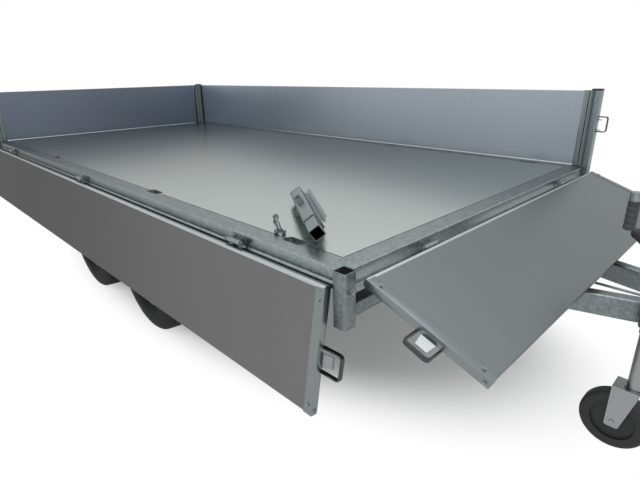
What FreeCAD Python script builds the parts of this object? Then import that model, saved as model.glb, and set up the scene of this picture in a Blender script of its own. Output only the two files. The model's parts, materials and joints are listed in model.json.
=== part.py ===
import FreeCAD, Part
import os
from math import cos, pi, radians, sin, tan

# Flatbed utility trailer with four drop-side panels, two braked axles and a jockey wheel.
# It stands parked: right and front panels folded down, left and rear panels up, and the
# front right corner post drawn out of its socket and laid on the deck.
# Millimetres. +X points along the drawbar to the towing car, +Y to the left, +Z up.
# The origin is the centre of the towing ball.

V = FreeCAD.Vector
O = V(0, 0, 0)
X = V(1, 0, 0)
Y = V(0, 1, 0)
Z = V(0, 0, 1)
DIAGONAL = V(1, -1, 0)

# Overall sizes
deck_length = 4040.0
deck_width = 2000.0
deck_height = 768.0
coupling_height = 460.0
drawbar_reach = 1350.0
panel_height = 412.0
cut_overrun = 10.0
running_fit = 0.1

# Deck frame, rolled from galvanised strip
rim_gauge = 3.0
rim_bend = 2.5
rim_width = 75.0
rim_depth = 65.0
rim_step_drop = 42.0
rim_step_out = 4.0
rim_step_slope = 8.0
rim_foot = 40.0
seam_gap = 1.0
bearer_depth = 60.0
bearer_flange = 40.0
bearer_gauge = 3.0
bearer_bend = 5.0
bearer_count = 7

# Lashing pans let into the seam between rim and floor
pan_length = 100.0
pan_width = 44.0
pan_depth = 22.0
pan_corner = 15.0
pan_gauge = 2.0
pan_fit = 0.3
pan_end_distance = 285.0
pan_inner_distance = 1290.0
lashing_bar = 5.0
lashing_bar_along = 25.0

# Underframe
beam_offset = 560.0
beam_depth = 100.0
beam_flange = 50.0
beam_gauge = 4.0
beam_bend = 6.0
cross_tube = 50.0
cross_tube_wall = 3.0
cross_tube_corner = 5.0
cross_tube_setback = 60.0
front_cross_half = 880.0
rear_cross_half = 760.0

# V drawbar
leg_depth = 80.0
leg_width = 50.0
leg_wall = 4.0
leg_corner = 8.0
leg_apex_offset = 75.0
leg_apex_reach = 600.0
leg_bend_reach = 2300.0
leg_past_axle = 255.0

# Corner sockets and posts
socket_side = 50.0
socket_wall = 3.0
socket_radius = 8.0
socket_rise = 5.0
socket_length = 176.0
post_fit = 0.5
post_wall = 2.5
post_insert = 105.0
post_flange_reach = 28.0
post_flange_in = 13.0
post_rib_shares = (0.3, 0.6)
post_bend = 1.5
cap_gauge = 9.0

# The front right post, laid on the deck
loose_turn = 144.8
loose_foot_back = 215.0
loose_foot_in = 106.0

# Panels
panel_gap = 5.0
panel_thickness = 25.0
panel_skin = 1.5
panel_foot_drop = 7.5
panel_foot_radius = 9.0
panel_top_radius = 4.0
panel_end_gap = 8.0
end_cap_width = 36.0
end_cap_gauge = 1.5
fold_down_angle = 170.5
front_rest_angle = 110.3

# Hinges
hinge_out = 23.0
hinge_drop = 26.0
hinge_pin = 10.0
hinge_knuckle = 18.0
hinge_long_end = 500.0
hinge_short_end = 400.0
hinge_body = 34.0
hinge_ear = 20.0
hinge_side_gap = 1.0
hinge_web = 8.0
bracket_gauge = 4.0
bracket_top_drop = 8.0
bracket_foot_drop = 38.0
leaf_gauge = 4.0
leaf_reach = 62.0
leaf_bridge_rise = 18.0

# Latches on the panels' ends, and their keepers on the posts
latch_height = 235.0
latch_loop_height = 84.0
latch_loop_long = 70.0
latch_loop_short = 58.0
latch_loop_latched = 98.0
latch_bar = 5.0
latch_bar_width = 14.0
latch_corner = 14.0
latch_plate_length = 90.0
latch_plate_height = 66.0
latch_plate_gauge = 4.0
latch_cover_length = 56.0
latch_cover_height = 54.0
latch_cover_rise = 9.0
latch_cover_slope = 14.0
latch_tongue = 35.0
latch_tongue_root = 48.0
latch_tongue_tip = 34.0
latch_tongue_rise = 13.0
latch_tongue_lip = 8.0
latch_tongue_gauge = 3.0
keeper_ear_apart = 25.0
keeper_ear_gauge = 3.0
keeper_ear_reach = 17.0
keeper_ear_width = 24.0
keeper_foot = 7.0

# Rubber rests under the folded front panel
rest_radius = 16.0
rest_foot_radius = 22.0
rest_foot_height = 6.0
rest_along = 379.0
rest_gap = 0.3

# Wheels
tyre_radius = 325.0
tyre_width = 185.0
tyre_inset = 15.0
tyre_wall = 9.0
tyre_tread_depth = 15.0
tread_half = 66.0
crown_drop = 4.0
shoulder_drop = 13.0
bead_past_flange = 3.0
bead_half = 70.0
rim_radius = 178.0
rim_flange = 9.0
rim_metal = 4.0
rim_well_depth = 28.0
well_shares = (0.42, 0.62)
disc_offset = 30.0
disc_bore = 32.0
disc_flat = 87.0
disc_ridge = 107.0
disc_ridge_out = 18.0
disc_foot_in = 6.0
hand_hole = 12.0
hand_hole_circle = 127.0
hand_hole_count = 8
hub_radius = 50.0
hub_past_disc = 20.0
hub_cap_radius = 30.0
hub_cap_length = 26.0
drum_radius = 118.0
drum_length = 62.0

# Axles
rear_hub_ahead = 1835.0
axle_spacing = 780.0
axle_tube = 80.0
axle_tube_wall = 5.0
axle_tube_corner = 10.0
arm_reach = 165.0
arm_thickness = 30.0
arm_width = 64.0
arm_tip_width = 54.0
arm_clear = 10.0
boss_radius = 34.0
spindle_radius = 19.0
spindle_gap = 1.0
backplate_gauge = 4.0
backplate_gap = 2.0

# Mudguards
guard_drop = 20.0
guard_width = 220.0
guard_gauge = 3.0
guard_lip = 12.0
stay_width = 40.0
stay_gauge = 4.0

# Overrun device and its brake rod
housing_ahead = 190.0
housing_behind = 100.0
housing_width = 96.0
housing_corner = 14.0
nose_length = 50.0
nose_root_radius = 40.0
nose_radius = 37.0
shaft_radius = 27.5
saddle_gauge = 6.0
gaiter_gap = 5.0
gaiter_radius = 46.0
gaiter_folds = 7
gaiter_fold_depth = 8.0
gaiter_cuff = 8.0
rod_radius = 5.0
rod_length = 1640.0
hanger_width = 24.0
hanger_gauge = 4.0
hanger_drop = 12.0
equaliser_half = 90.0
equaliser_depth = 30.0
equaliser_gauge = 6.0

# Ball coupling
ball_radius = 25.0
ball_play = 0.15
cup_drop = 18.5
cup_rise = 37.0
head_length = 250.0
head_width = 72.0
neck_width = 62.0
neck_depth = 66.0
neck_corner = 12.0
neck_tip_width = 60.0
neck_tip_depth = 48.0
neck_tip_drop = 6.0
lip_radius = 39.0
lip_height = 6.0
shaft_engagement = 75.0
shaft_end_gap = 1.0
handle_width = 34.0
handle_gauge = 8.0
handle_pin = 5.0
handle_back = 43.0
handle_height = 98.0
handle_length = 190.0
handle_rise = 24.0
ear_reach = 12.0
ear_gauge = 5.0

# Parking brake lever, pulled on
brake_back = 20.0
brake_aside = 40.0
brake_lug_gauge = 5.0
brake_lug_reach = 16.0
brake_lug_rise = 24.0
brake_lever_width = 20.0
brake_bar_depth = 26.0
brake_bar_gauge = 8.0
brake_pin = 6.0
brake_grip_radius = 19.0
brake_grip_length = 125.0
brake_grip_past = 20.0
brake_tip_ahead = 505.0
brake_tip_drop = 30.0

# Jockey wheel
jockey_behind_apex = 140.0
jockey_beside_leg = 75.0
jockey_outer = 30.0
jockey_wall = 3.0
jockey_top_rise = 20.0
jockey_outer_length = 320.0
jockey_engagement = 112.0
jockey_inner_wall = 4.0
jockey_wheel_radius = 110.0
jockey_wheel_width = 58.0
jockey_tread_radius = 14.0
jockey_hub_radius = 24.0
jockey_dish_radius = 72.0
jockey_dish = 9.0
jockey_trail = 40.0
jockey_axle = 10.0
fork_rise = 40.0
fork_gap = 1.0
fork_gauge = 6.0
fork_side_gap = 2.0
fork_half_length = 22.0
fork_foot = 18.0
fork_corner = 8.0
crown_radius = 32.0
crown_thickness = 10.0
stem_radius = 9.0
stem_length = 20.0
inner_foot = 8.0
clamp_height = 46.0
clamp_gauge = 8.0
clamp_length = 76.0
clamp_bridge = 32.0
toggle_radius = 6.0
toggle_bar_radius = 4.0
toggle_reach = 43.0
toggle_length = 70.0
crank_post = 10.0
crank_rise = 124.0
crank_arm = 135.0
crank_arm_width = 20.0
crank_arm_gauge = 8.0
crank_turn = 162.8
crank_grip_length = 98.0
crank_grip_radius = 17.0

# Rear lamps
lamp_width = 220.0
lamp_height = 90.0
lamp_depth = 50.0
lamp_corner = 12.0
lamp_in = 120.0

# Levels and places that follow from the sizes
deck_front = -drawbar_reach
deck_rear = deck_front - deck_length
deck_top = deck_height - coupling_height
ground = -coupling_height
half_width = deck_width / 2
half_socket = socket_side / 2
beam_top = deck_top - rim_gauge - bearer_depth
beam_foot = beam_top - beam_depth
leg_top = beam_foot - cross_tube
leg_foot = leg_top - leg_depth
leg_middle = (leg_top + leg_foot) / 2
post_rise = panel_height - panel_foot_drop
panel_outer = panel_gap + panel_thickness
skin_outer = panel_outer - end_cap_gauge
panel_start = half_socket + panel_end_gap
latch_up = latch_height - panel_foot_drop
tyre_outer_face = half_width - tyre_inset
wheel_middle = tyre_outer_face - tyre_width / 2
hub_height = ground + tyre_radius
housing_nose = -leg_apex_reach + housing_ahead
housing_rear = -leg_apex_reach - housing_behind
fork_top = ground + 2 * jockey_wheel_radius + fork_rise


def place(shape, origin, x_dir, y_dir):
    """Carry a shape drawn about the zero point to origin, turned onto two directions."""
    z_dir = x_dir.cross(y_dir)
    turned = FreeCAD.Matrix(
        x_dir.x, y_dir.x, z_dir.x, origin.x,
        x_dir.y, y_dir.y, z_dir.y, origin.y,
        x_dir.z, y_dir.z, z_dir.z, origin.z,
        0, 0, 0, 1,
    )
    moved = shape.copy()
    moved.Placement = FreeCAD.Placement(turned).multiply(shape.Placement)
    return moved


def block(low, high):
    """A box between two corners."""
    size = high - low
    return Part.makeBox(size.x, size.y, size.z, low)


def fuse(shapes):
    """One shape from several that meet."""
    first, *others = shapes
    return first.fuse(others).removeSplitter()


def disc(radius, thickness, base, axis):
    """A round bar."""
    return Part.makeCylinder(radius, thickness, base, axis)


def ring(outer, inner, length, base, axis):
    """A round tube."""
    return disc(outer, length, base, axis).cut(disc(inner, length, base, axis))


def polygon(points):
    """A face inside straight edges."""
    return Part.Face(Part.makePolygon(points + points[:1]))


def flipped(points):
    """Points mirrored across the Y axis, in the reverse order."""
    return [V(-point.x, point.y) for point in reversed(points)]


def corner_arc(before, corner, after, radius):
    """The arc that rounds one corner, after its two ends."""
    back = (before - corner).normalize()
    ahead = (after - corner).normalize()
    half = back.getAngle(ahead) / 2
    first = corner + back * (radius / tan(half))
    last = corner + ahead * (radius / tan(half))
    middle = corner + (back + ahead).normalize() * (radius / sin(half) - radius)
    return first, last, Part.Arc(first, middle, last).toShape()


def rounded_path(points, radius):
    """A wire through the points, with each inner corner turned to an arc."""
    edges = []
    start = points[0]
    for before, corner, after in zip(points, points[1:], points[2:]):
        first, last, arc = corner_arc(before, corner, after, radius)
        edges += [Part.makeLine(start, first), arc]
        start = last
    return Part.Wire(edges + [Part.makeLine(start, points[-1])])


def strip_face(points, gauge, bend):
    """The section of a rolled strip whose middle line runs through the points."""
    return rounded_path(points, bend).makeOffset2D(gauge / 2, 0, True, False)


def mitred_strip(points, gauge):
    """The section of a pressed sheet with sharp bends, its middle line through the points."""
    directions = [(after - before).normalize() for before, after in zip(points, points[1:])]
    over, under = [], []
    for here, back, ahead in zip(points, directions[:1] + directions, directions + directions[-1:]):
        aside = Z.cross(back + ahead).normalize()
        reach = aside * (gauge / 2 / aside.dot(Z.cross(ahead)))
        over.append(here + reach)
        under.append(here - reach)
    return polygon(over + under[::-1])


def rounded_outline(corners):
    """A face whose corners, each given with its radius, are turned to arcs."""
    points = [point for point, _ in corners]
    around = zip(points[-1:] + points[:-1], corners, points[1:] + points[:1])
    arcs = [corner_arc(before, point, after, radius) for before, (point, radius), after in around]
    edges = []
    for (_, last, arc), (first, _, _) in zip(arcs, arcs[1:] + arcs[:1]):
        edges += [arc, Part.makeLine(last, first)]
    return Part.Face(Part.Wire(edges))


def rounded_rectangle(width, height, radius):
    """A face centred on the zero point, with round corners."""
    right, top = width / 2, height / 2
    points = [V(-right, -top), V(right, -top), V(right, top), V(-right, top)]
    return rounded_outline([(point, radius) for point in points])


def box_tube(side_x, side_y, wall, radius, length):
    """A rolled rectangular tube standing on the zero plane."""
    outer = rounded_rectangle(side_x, side_y, radius).extrude(Z * length)
    inner = rounded_rectangle(side_x - 2 * wall, side_y - 2 * wall, radius - wall)
    return outer.cut(inner.extrude(Z * length))


class Side:
    """One edge of the deck: local x points inboard, y up and z along the edge."""

    def __init__(self, corner, inboard, length):
        self.corner = corner
        self.inboard = inboard
        self.length = length

    def put(self, shape):
        return place(shape, self.corner, self.inboard, Z)


sides = {
    "right": Side(V(deck_rear, -half_width, deck_top), Y, deck_length),
    "front": Side(V(deck_front, -half_width, deck_top), X * -1, deck_width),
    "left": Side(V(deck_front, half_width, deck_top), Y * -1, deck_length),
    "rear": Side(V(deck_rear, half_width, deck_top), X, deck_width),
}
long_sides = ("right", "left")
opened = {"right": fold_down_angle, "front": front_rest_angle, "left": 0.0, "rear": 0.0}


def pan_places():
    """Where the lashing pans lie along each long side."""
    near = [pan_end_distance, pan_inner_distance]
    return near + [deck_length - along for along in reversed(near)]


def pan_block(along, grow, depth, rise):
    """A pan's outline as a solid, grown all round, in a side's local frame."""
    face = rounded_rectangle(pan_length + 2 * grow, pan_width + 2 * grow, pan_corner + grow)
    return place(face.extrude(Z * (depth + rise)), V(rim_width, -depth, along), Z, X)


def pan_pocket(along):
    """The hole that a lashing pan fits."""
    return pan_block(along, pan_fit, pan_depth + pan_fit, cut_overrun)


def deck_rim():
    """Four rolled edge members between the corner sockets."""
    mid = rim_gauge / 2
    section = strip_face([
        V(rim_width - mid, -mid), V(mid, -mid), V(mid, -rim_step_drop),
        V(mid - rim_step_out, -rim_step_drop - rim_step_slope),
        V(mid - rim_step_out, -rim_depth), V(rim_foot, -rim_depth),
    ], rim_gauge, rim_bend)
    notch = block(V(half_socket, -rim_depth - cut_overrun, half_socket - cut_overrun),
                  V(rim_width + cut_overrun, cut_overrun, rim_width))
    shapes = []
    for name, side in sides.items():
        member = section.extrude(Z * (side.length - socket_side))
        member.translate(Z * half_socket)
        if name in long_sides:
            member = member.cut([pan_pocket(along) for along in pan_places()])
        else:
            member = member.cut([notch, notch.mirror(Z * (side.length / 2), Z)])
        shapes.append(side.put(member))
    return shapes


def deck_floor():
    """One galvanised sheet, let in flush between the rims."""
    edge = rim_width + seam_gap
    sheet = block(V(deck_rear + edge, -half_width + edge, deck_top - rim_gauge),
                  V(deck_front - edge, half_width - edge, deck_top))
    pockets = [sides[name].put(pan_pocket(along)) for name in long_sides for along in pan_places()]
    return [sheet.cut(pockets)]


def channel(depth, flange, gauge, bend, length):
    """A rolled channel: web on the zero plane of x, top flange's upper face at zero height."""
    mid = gauge / 2
    section = strip_face([
        V(flange - mid, -mid), V(mid, -mid), V(mid, mid - depth), V(flange - mid, mid - depth),
    ], gauge, bend)
    return section.extrude(Z * length)


def deck_bearers():
    """Cross members under the floor, each a rolled channel."""
    inner_half = half_width - rim_gauge - seam_gap
    pitch = deck_length / (bearer_count + 1)
    bar = channel(bearer_depth, bearer_flange, bearer_gauge, bearer_bend, 2 * inner_half)
    shapes = []
    for step in range(bearer_count):
        start = V(deck_rear + pitch * (step + 1), -inner_half, deck_top - rim_gauge)
        shapes.append(place(bar, start, X * -1, Z))
    return shapes


def lashing_pans():
    """Pressed pans with a bar across one end, in the long sides' seams."""
    shapes = []
    reach = pan_width - pan_gauge
    for name in long_sides:
        for along in pan_places():
            hollow = pan_block(along, -pan_gauge, pan_depth - pan_gauge, cut_overrun)
            tray = pan_block(along, 0, pan_depth, 0).cut(hollow)
            bar_at = V(rim_width - reach / 2, -pan_depth / 2, along + lashing_bar_along)
            shapes.append(sides[name].put(fuse([tray, disc(lashing_bar, reach, bar_at, X)])))
    return shapes


def long_beams():
    """Two channels that run the length of the deck, their webs outwards."""
    clear_of_foot = rim_foot + rim_gauge
    length = deck_length - 2 * clear_of_foot
    beam = channel(beam_depth, beam_flange, beam_gauge, beam_bend, length)
    rear_end = deck_rear + clear_of_foot
    right = place(beam, V(rear_end, -beam_offset, beam_top), Y, Z)
    left = place(beam, V(rear_end + length, beam_offset, beam_top), Y * -1, Z)
    return [right, left]


def cross_tube_x(front):
    """The middle of the front or the rear cross tube."""
    inset = cross_tube_setback + cross_tube / 2
    return deck_front - inset if front else deck_rear + inset


def cross_tubes():
    """Square tubes under the long beams, near the front and the rear of the deck."""
    shapes = []
    for front, half in ((True, front_cross_half), (False, rear_cross_half)):
        tube = box_tube(cross_tube, cross_tube, cross_tube_wall, cross_tube_corner, 2 * half)
        shapes.append(place(tube, V(cross_tube_x(front), -half, beam_foot - cross_tube / 2), Z, X))
    return shapes


def hub_x(axle_name):
    """Where an axle's wheels turn."""
    behind = deck_rear + rear_hub_ahead
    return behind if axle_name == "rear" else behind + axle_spacing


def leg_line(hand):
    """Middle line of one drawbar leg, from the overrun housing back past the axles."""
    return [V(-leg_apex_reach, hand * leg_apex_offset, leg_middle),
            V(-leg_bend_reach, hand * beam_offset, leg_middle),
            V(hub_x("rear") - leg_past_axle, hand * beam_offset, leg_middle)]


def leg_offset(distance):
    """How far a leg's middle line lies from the centre line, at a distance behind the ball."""
    share = (distance - leg_apex_reach) / (leg_bend_reach - leg_apex_reach)
    return leg_apex_offset + (beam_offset - leg_apex_offset) * share


jockey_behind = leg_apex_reach + jockey_behind_apex
jockey_axis = V(-jockey_behind, -leg_offset(jockey_behind) - jockey_beside_leg, 0)


def drawbar_legs():
    """Two box legs, bent once where they become parallel."""
    shapes = []
    size = 2 * leg_bend_reach
    for hand in (-1, 1):
        apex, bend, tail = leg_line(hand)
        ahead = (apex - bend).normalize()
        overlap = leg_width * tan(ahead.getAngle(X) / 2) + cut_overrun
        mitre = (ahead + X).normalize()
        before_bend = place(block(V(0, -size, -size), V(size, size, size)), bend, mitre, Z.cross(mitre))
        past_apex = block(V(apex.x, -size, -size), V(apex.x + size, size, size))
        slant = box_tube(leg_width, leg_depth, leg_wall, leg_corner, (apex - bend).Length + 2 * overlap)
        slant = place(slant, bend - ahead * overlap, Z.cross(ahead), Z)
        straight = box_tube(leg_width, leg_depth, leg_wall, leg_corner, (bend - tail).Length + overlap)
        straight = place(straight, tail, Z.cross(X), Z)
        shapes.append(fuse([slant.common(before_bend).cut(past_apex), straight.cut(before_bend)]))
    return shapes


corner_names = ("front right", "front left", "rear left", "rear right")


def corner(name):
    """A corner's middle and the two directions that point inboard from it."""
    front = "front" in name
    left = "left" in name
    spot = V(deck_front if front else deck_rear, half_width if left else -half_width, deck_top)
    return spot, (X * -1 if front else X), (Y * -1 if left else Y)


def corner_socket(name):
    """The square socket tube of one corner."""
    tube = box_tube(socket_side, socket_side, socket_wall, socket_radius, socket_length)
    return place(tube, corner(name)[0] + Z * (socket_rise - socket_length), X, Y)


def at_corner(name, shape):
    """Carry a shape drawn for a post to its corner: local x and y point inboard along the edges."""
    spot, x_in, y_in = corner(name)
    if x_in.cross(y_in).z < 0:
        return place(shape.mirror(O, DIAGONAL), spot, y_in, x_in)
    return place(shape, spot, x_in, y_in)


def post_body():
    """A corner post about its own axis: a square core, a thick head and two ribbed flanges.

    The zero plane is the deck.
    """
    core_side = socket_side - 2 * socket_wall - 2 * post_fit
    core_radius = socket_radius - socket_wall - post_fit
    core = box_tube(core_side, core_side, post_wall, core_radius, post_insert + post_rise)
    core.translate(Z * -post_insert)
    head_wall = (socket_side - core_side) / 2 + post_wall
    rise = post_rise - socket_rise
    head = box_tube(socket_side, socket_side, head_wall, socket_radius, rise)
    head.translate(Z * socket_rise)
    first, second = [half_socket + post_flange_reach * share for share in post_rib_shares]
    rib_in = half_socket - post_wall / 2
    flange = strip_face([
        V(half_socket - post_wall, post_flange_in), V(first, post_flange_in), V(first, rib_in),
        V(second, rib_in), V(second, post_flange_in),
        V(half_socket + post_flange_reach, post_flange_in),
    ], post_wall, post_bend)
    wing = flange.extrude(Z * rise)
    wing.translate(Z * socket_rise)
    return fuse([core, head, wing, wing.mirror(O, DIAGONAL)])


def post_cap():
    """The moulded cap on a post's head."""
    cap = rounded_rectangle(socket_side, socket_side, socket_radius).extrude(Z * cap_gauge)
    cap.translate(Z * post_rise)
    return cap


def post_keepers():
    """Two bent ears on each outer face of a post, above and below the latch's tongue."""
    ears = []
    half = keeper_ear_width / 2
    for hand in (-1, 1):
        inner = latch_up + hand * keeper_ear_apart
        low, high = sorted((inner, inner + hand * keeper_ear_gauge))
        foot_low, foot_high = sorted((inner, inner + hand * keeper_foot))
        ear = block(V(-half, -half_socket - keeper_ear_reach, low), V(half, -half_socket, high))
        foot = block(V(-half, -half_socket - keeper_ear_gauge, foot_low),
                     V(half, -half_socket, foot_high))
        ears.append(fuse([ear, foot]))
    return ears + [ear.mirror(O, DIAGONAL) for ear in ears]


def lay_down(shape):
    """Carry a post's shape to the deck, lying on one flange's edge and its keepers, foot forwards."""
    turn = radians(loose_turn)
    along = V(cos(turn), sin(turn), 0)
    right = along.cross(Z)
    flange_tip = V(post_flange_in, half_socket + post_flange_reach, 0)
    ear_tip = V(-half_socket - keeper_ear_reach, keeper_ear_width / 2, 0)
    floor = (flange_tip - ear_tip).normalize()
    rise = floor.cross(flange_tip).z + post_wall / 2
    foot = V(deck_front - loose_foot_back, -half_width + loose_foot_in, deck_top + rise)
    x_dir = right * floor.x + Z * floor.y
    return place(shape, foot + along * post_insert, x_dir, right * floor.y - Z * floor.x)


def panel_face(inset):
    """A panel's section at some depth under its end caps' skin."""
    half = panel_thickness / 2 - inset
    foot = -panel_foot_drop + inset
    top = panel_height - panel_foot_drop - inset
    middle = -panel_gap - panel_thickness / 2
    foot_radius = panel_foot_radius - inset
    top_radius = panel_top_radius - inset
    return rounded_outline([
        (V(middle - half, foot), foot_radius), (V(middle + half, foot), foot_radius),
        (V(middle + half, top), top_radius), (V(middle - half, top), top_radius),
    ])


def closed_panel(side):
    """One double-skinned drop-side panel with its end caps, shut, in its side's local frame."""
    length = side.length - 2 * panel_start
    void_inset = end_cap_gauge + panel_skin
    core = panel_face(end_cap_gauge).extrude(Z * (length - 2 * end_cap_gauge))
    core.translate(Z * (panel_start + end_cap_gauge))
    void = panel_face(void_inset).extrude(Z * (length - 2 * void_inset))
    void.translate(Z * (panel_start + void_inset))
    cap = panel_face(0).extrude(Z * end_cap_width)
    cap.translate(Z * panel_start)
    cap = cap.cut(core)
    far_cap = cap.mirror(Z * (side.length / 2), Z)
    return core.cut(void).fuse([cap, far_cap])


def hinge_places(side):
    """Where the hinges lie along a side."""
    if side.length > deck_width:
        return [hinge_long_end, side.length / 2, side.length - hinge_long_end]
    return [hinge_short_end, side.length - hinge_short_end]


def hinge_moving(along):
    """A leaf on the panel's outer skin, with two knuckles."""
    inner = hinge_body / 2 + hinge_side_gap
    reach = inner + hinge_ear
    parts = []
    for start in (along + inner, along - reach):
        knuckle = disc(hinge_knuckle / 2, hinge_ear, V(-hinge_out, -hinge_drop, start), Z)
        leaf = block(V(-skin_outer - leaf_gauge, -hinge_drop, start),
                     V(-skin_outer, leaf_reach, start + hinge_ear))
        parts += [knuckle, leaf]
    parts.append(block(V(-skin_outer - leaf_gauge, leaf_bridge_rise, along - inner),
                       V(-skin_outer, leaf_reach, along + inner)))
    bore = disc(hinge_pin / 2 + running_fit, 2 * reach, V(-hinge_out, -hinge_drop, along - reach), Z)
    return fuse(parts).cut(bore)


def hinge_fixed(along):
    """A bracket welded to the fascia, with its knuckle and pin."""
    inner = hinge_body / 2
    half = inner + hinge_side_gap + hinge_ear
    axis = V(-hinge_out, -hinge_drop, 0)
    pin = disc(hinge_pin / 2, 2 * half, axis + Z * (along - half), Z)
    knuckle = disc(hinge_knuckle / 2, hinge_body, axis + Z * (along - inner), Z)
    web = block(V(-hinge_out, -hinge_drop - hinge_web / 2, along - inner),
                V(0, -hinge_drop + hinge_web / 2, along + inner))
    plate = block(V(-bracket_gauge, -bracket_foot_drop, along - half),
                  V(0, -bracket_top_drop, along + half))
    return fuse([pin, knuckle, web, plate])


def latch_loop(reach):
    """A flat bar bent to a square loop that runs out past the panel's end."""
    root = latch_plate_length / 2
    middle = (reach - root) / 2
    length = reach + root
    outer = rounded_rectangle(length, latch_loop_height, latch_corner)
    inner = rounded_rectangle(length - 2 * latch_bar, latch_loop_height - 2 * latch_bar,
                              latch_corner - latch_bar)
    loop = outer.cut(inner).extrude(Z * latch_bar_width)
    loop.translate(X * middle)
    return loop


def latch_tongue_plate():
    """The folded tongue, tapered from its root to its lip."""
    root = -latch_cover_slope
    low = latch_tongue_gauge / 2
    high = low + latch_tongue_rise
    bent = mitred_strip([
        V(root, low), V(0, low), V(latch_tongue - latch_tongue_lip, high), V(latch_tongue, high),
    ], latch_tongue_gauge).extrude(Z * latch_tongue_root)
    bent = place(bent, V(0, latch_tongue_root / 2, 0), X, Z)
    wide, narrow = latch_tongue_root / 2, latch_tongue_tip / 2
    taper = polygon([V(root, -wide), V(0, -wide), V(latch_tongue, -narrow),
                     V(latch_tongue, narrow), V(0, wide), V(root, wide)])
    return bent.common(taper.extrude(Z * (high + latch_tongue_gauge)))


def latch(reach):
    """Joggled base plate, cover, loop and tongue: x past the panel's end, y up, z outwards."""
    half = latch_plate_height / 2
    plate = block(V(-latch_plate_length, -half, 0), V(-latch_bar, half, latch_plate_gauge))
    joggle = block(V(-latch_plate_length, -half, -end_cap_gauge), V(-end_cap_width, half, 0))
    foot = -latch_plate_length + latch_bar
    top = latch_plate_gauge + latch_cover_rise
    profile = polygon([
        V(foot, latch_plate_gauge), V(foot + latch_cover_slope, top),
        V(foot + latch_cover_length, top),
        V(foot + latch_cover_length + latch_cover_slope, latch_plate_gauge),
    ])
    cover = place(profile.extrude(Z * latch_cover_height), V(0, latch_cover_height / 2, 0), X, Z)
    clasp_at = -latch_plate_length / 2
    clasp_half = latch_loop_height / 2 - latch_bar
    clasp = block(V(clasp_at, -clasp_half, 0), V(clasp_at + 2 * latch_bar, clasp_half, top))
    return fuse([plate, joggle, cover, clasp, latch_loop(reach), latch_tongue_plate()])


def swing(name, shape):
    """Fold a shut panel's piece down by the angle at which its side stands."""
    turned = shape.copy()
    if opened[name]:
        turned.rotate(V(-hinge_out, -hinge_drop, 0), Z, opened[name])
    return sides[name].put(turned)


def panel_fittings(name):
    """A side's hinge leaves and its two latches, mirrored."""
    side = sides[name]
    reach = latch_loop_long if name in long_sides else latch_loop_short
    near_reach = latch_loop_latched if name == "left" else reach
    shapes = [hinge_moving(along) for along in hinge_places(side)]
    near = latch(near_reach).mirror(O, X)
    shapes.append(place(near, V(-panel_outer, latch_up, panel_start), Z, Y))
    far = V(-panel_outer, latch_up, side.length - panel_start)
    shapes.append(place(latch(reach), far, Z, Y))
    return [swing(name, shape) for shape in shapes]


def panel_rests():
    """Rubber buffers on the legs that the folded front panel lies on."""
    spot_x = deck_front + hinge_out + rest_along * cos(radians(front_rest_angle - 90))
    below = skin_outer + rest_gap
    lying = swing("front", block(V(-below, -panel_height, 0),
                                 V(panel_height, 2 * panel_height, deck_width)))
    shapes = []
    for hand in (-1, 1):
        foot = V(spot_x, hand * leg_offset(-spot_x), leg_top)
        column = disc(rest_radius, deck_top - leg_top, foot, Z)
        shapes.append(fuse([column.cut(lying), disc(rest_foot_radius, rest_foot_height, foot, Z)]))
    return shapes


def tyre_line(wall, tread):
    """The edges of a tyre's outer or inner surface, from one bead to the other."""
    crown = tyre_radius - tread
    bead = V(bead_half - wall, rim_radius + rim_flange + bead_past_flange)
    shoulder = V(bead_half - wall, crown - shoulder_drop)
    bulge = V(tyre_width / 2 - wall, (bead.y + shoulder.y) / 2)
    edge = V(tread_half - wall, crown - crown_drop)
    far_edge, far_shoulder, far_bulge, far_bead = flipped([bead, bulge, shoulder, edge])
    return [
        Part.Arc(bead, bulge, shoulder).toShape(), Part.makeLine(shoulder, edge),
        Part.Arc(edge, V(0, crown), far_edge).toShape(), Part.makeLine(far_edge, far_shoulder),
        Part.Arc(far_shoulder, far_bulge, far_bead).toShape(),
    ]


def tyre(centre):
    """A hollow tyre, its beads just clear of the rim's seats."""
    bead = rim_radius + running_fit
    top = rim_radius + rim_flange + bead_past_flange
    edges = tyre_line(0, 0) + tyre_line(tyre_wall, tyre_tread_depth)
    for hand in (-1, 1):
        outer, inner = hand * bead_half, hand * (bead_half - tyre_wall)
        corners = [V(outer, top), V(outer, bead), V(inner, bead), V(inner, top)]
        edges += [Part.makeLine(start, end) for start, end in zip(corners, corners[1:])]
    face = Part.Face(Part.Wire(Part.__sortEdges__(edges)))
    return place(face.revolve(O, X, 360), centre, Y * -1, X)


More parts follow.
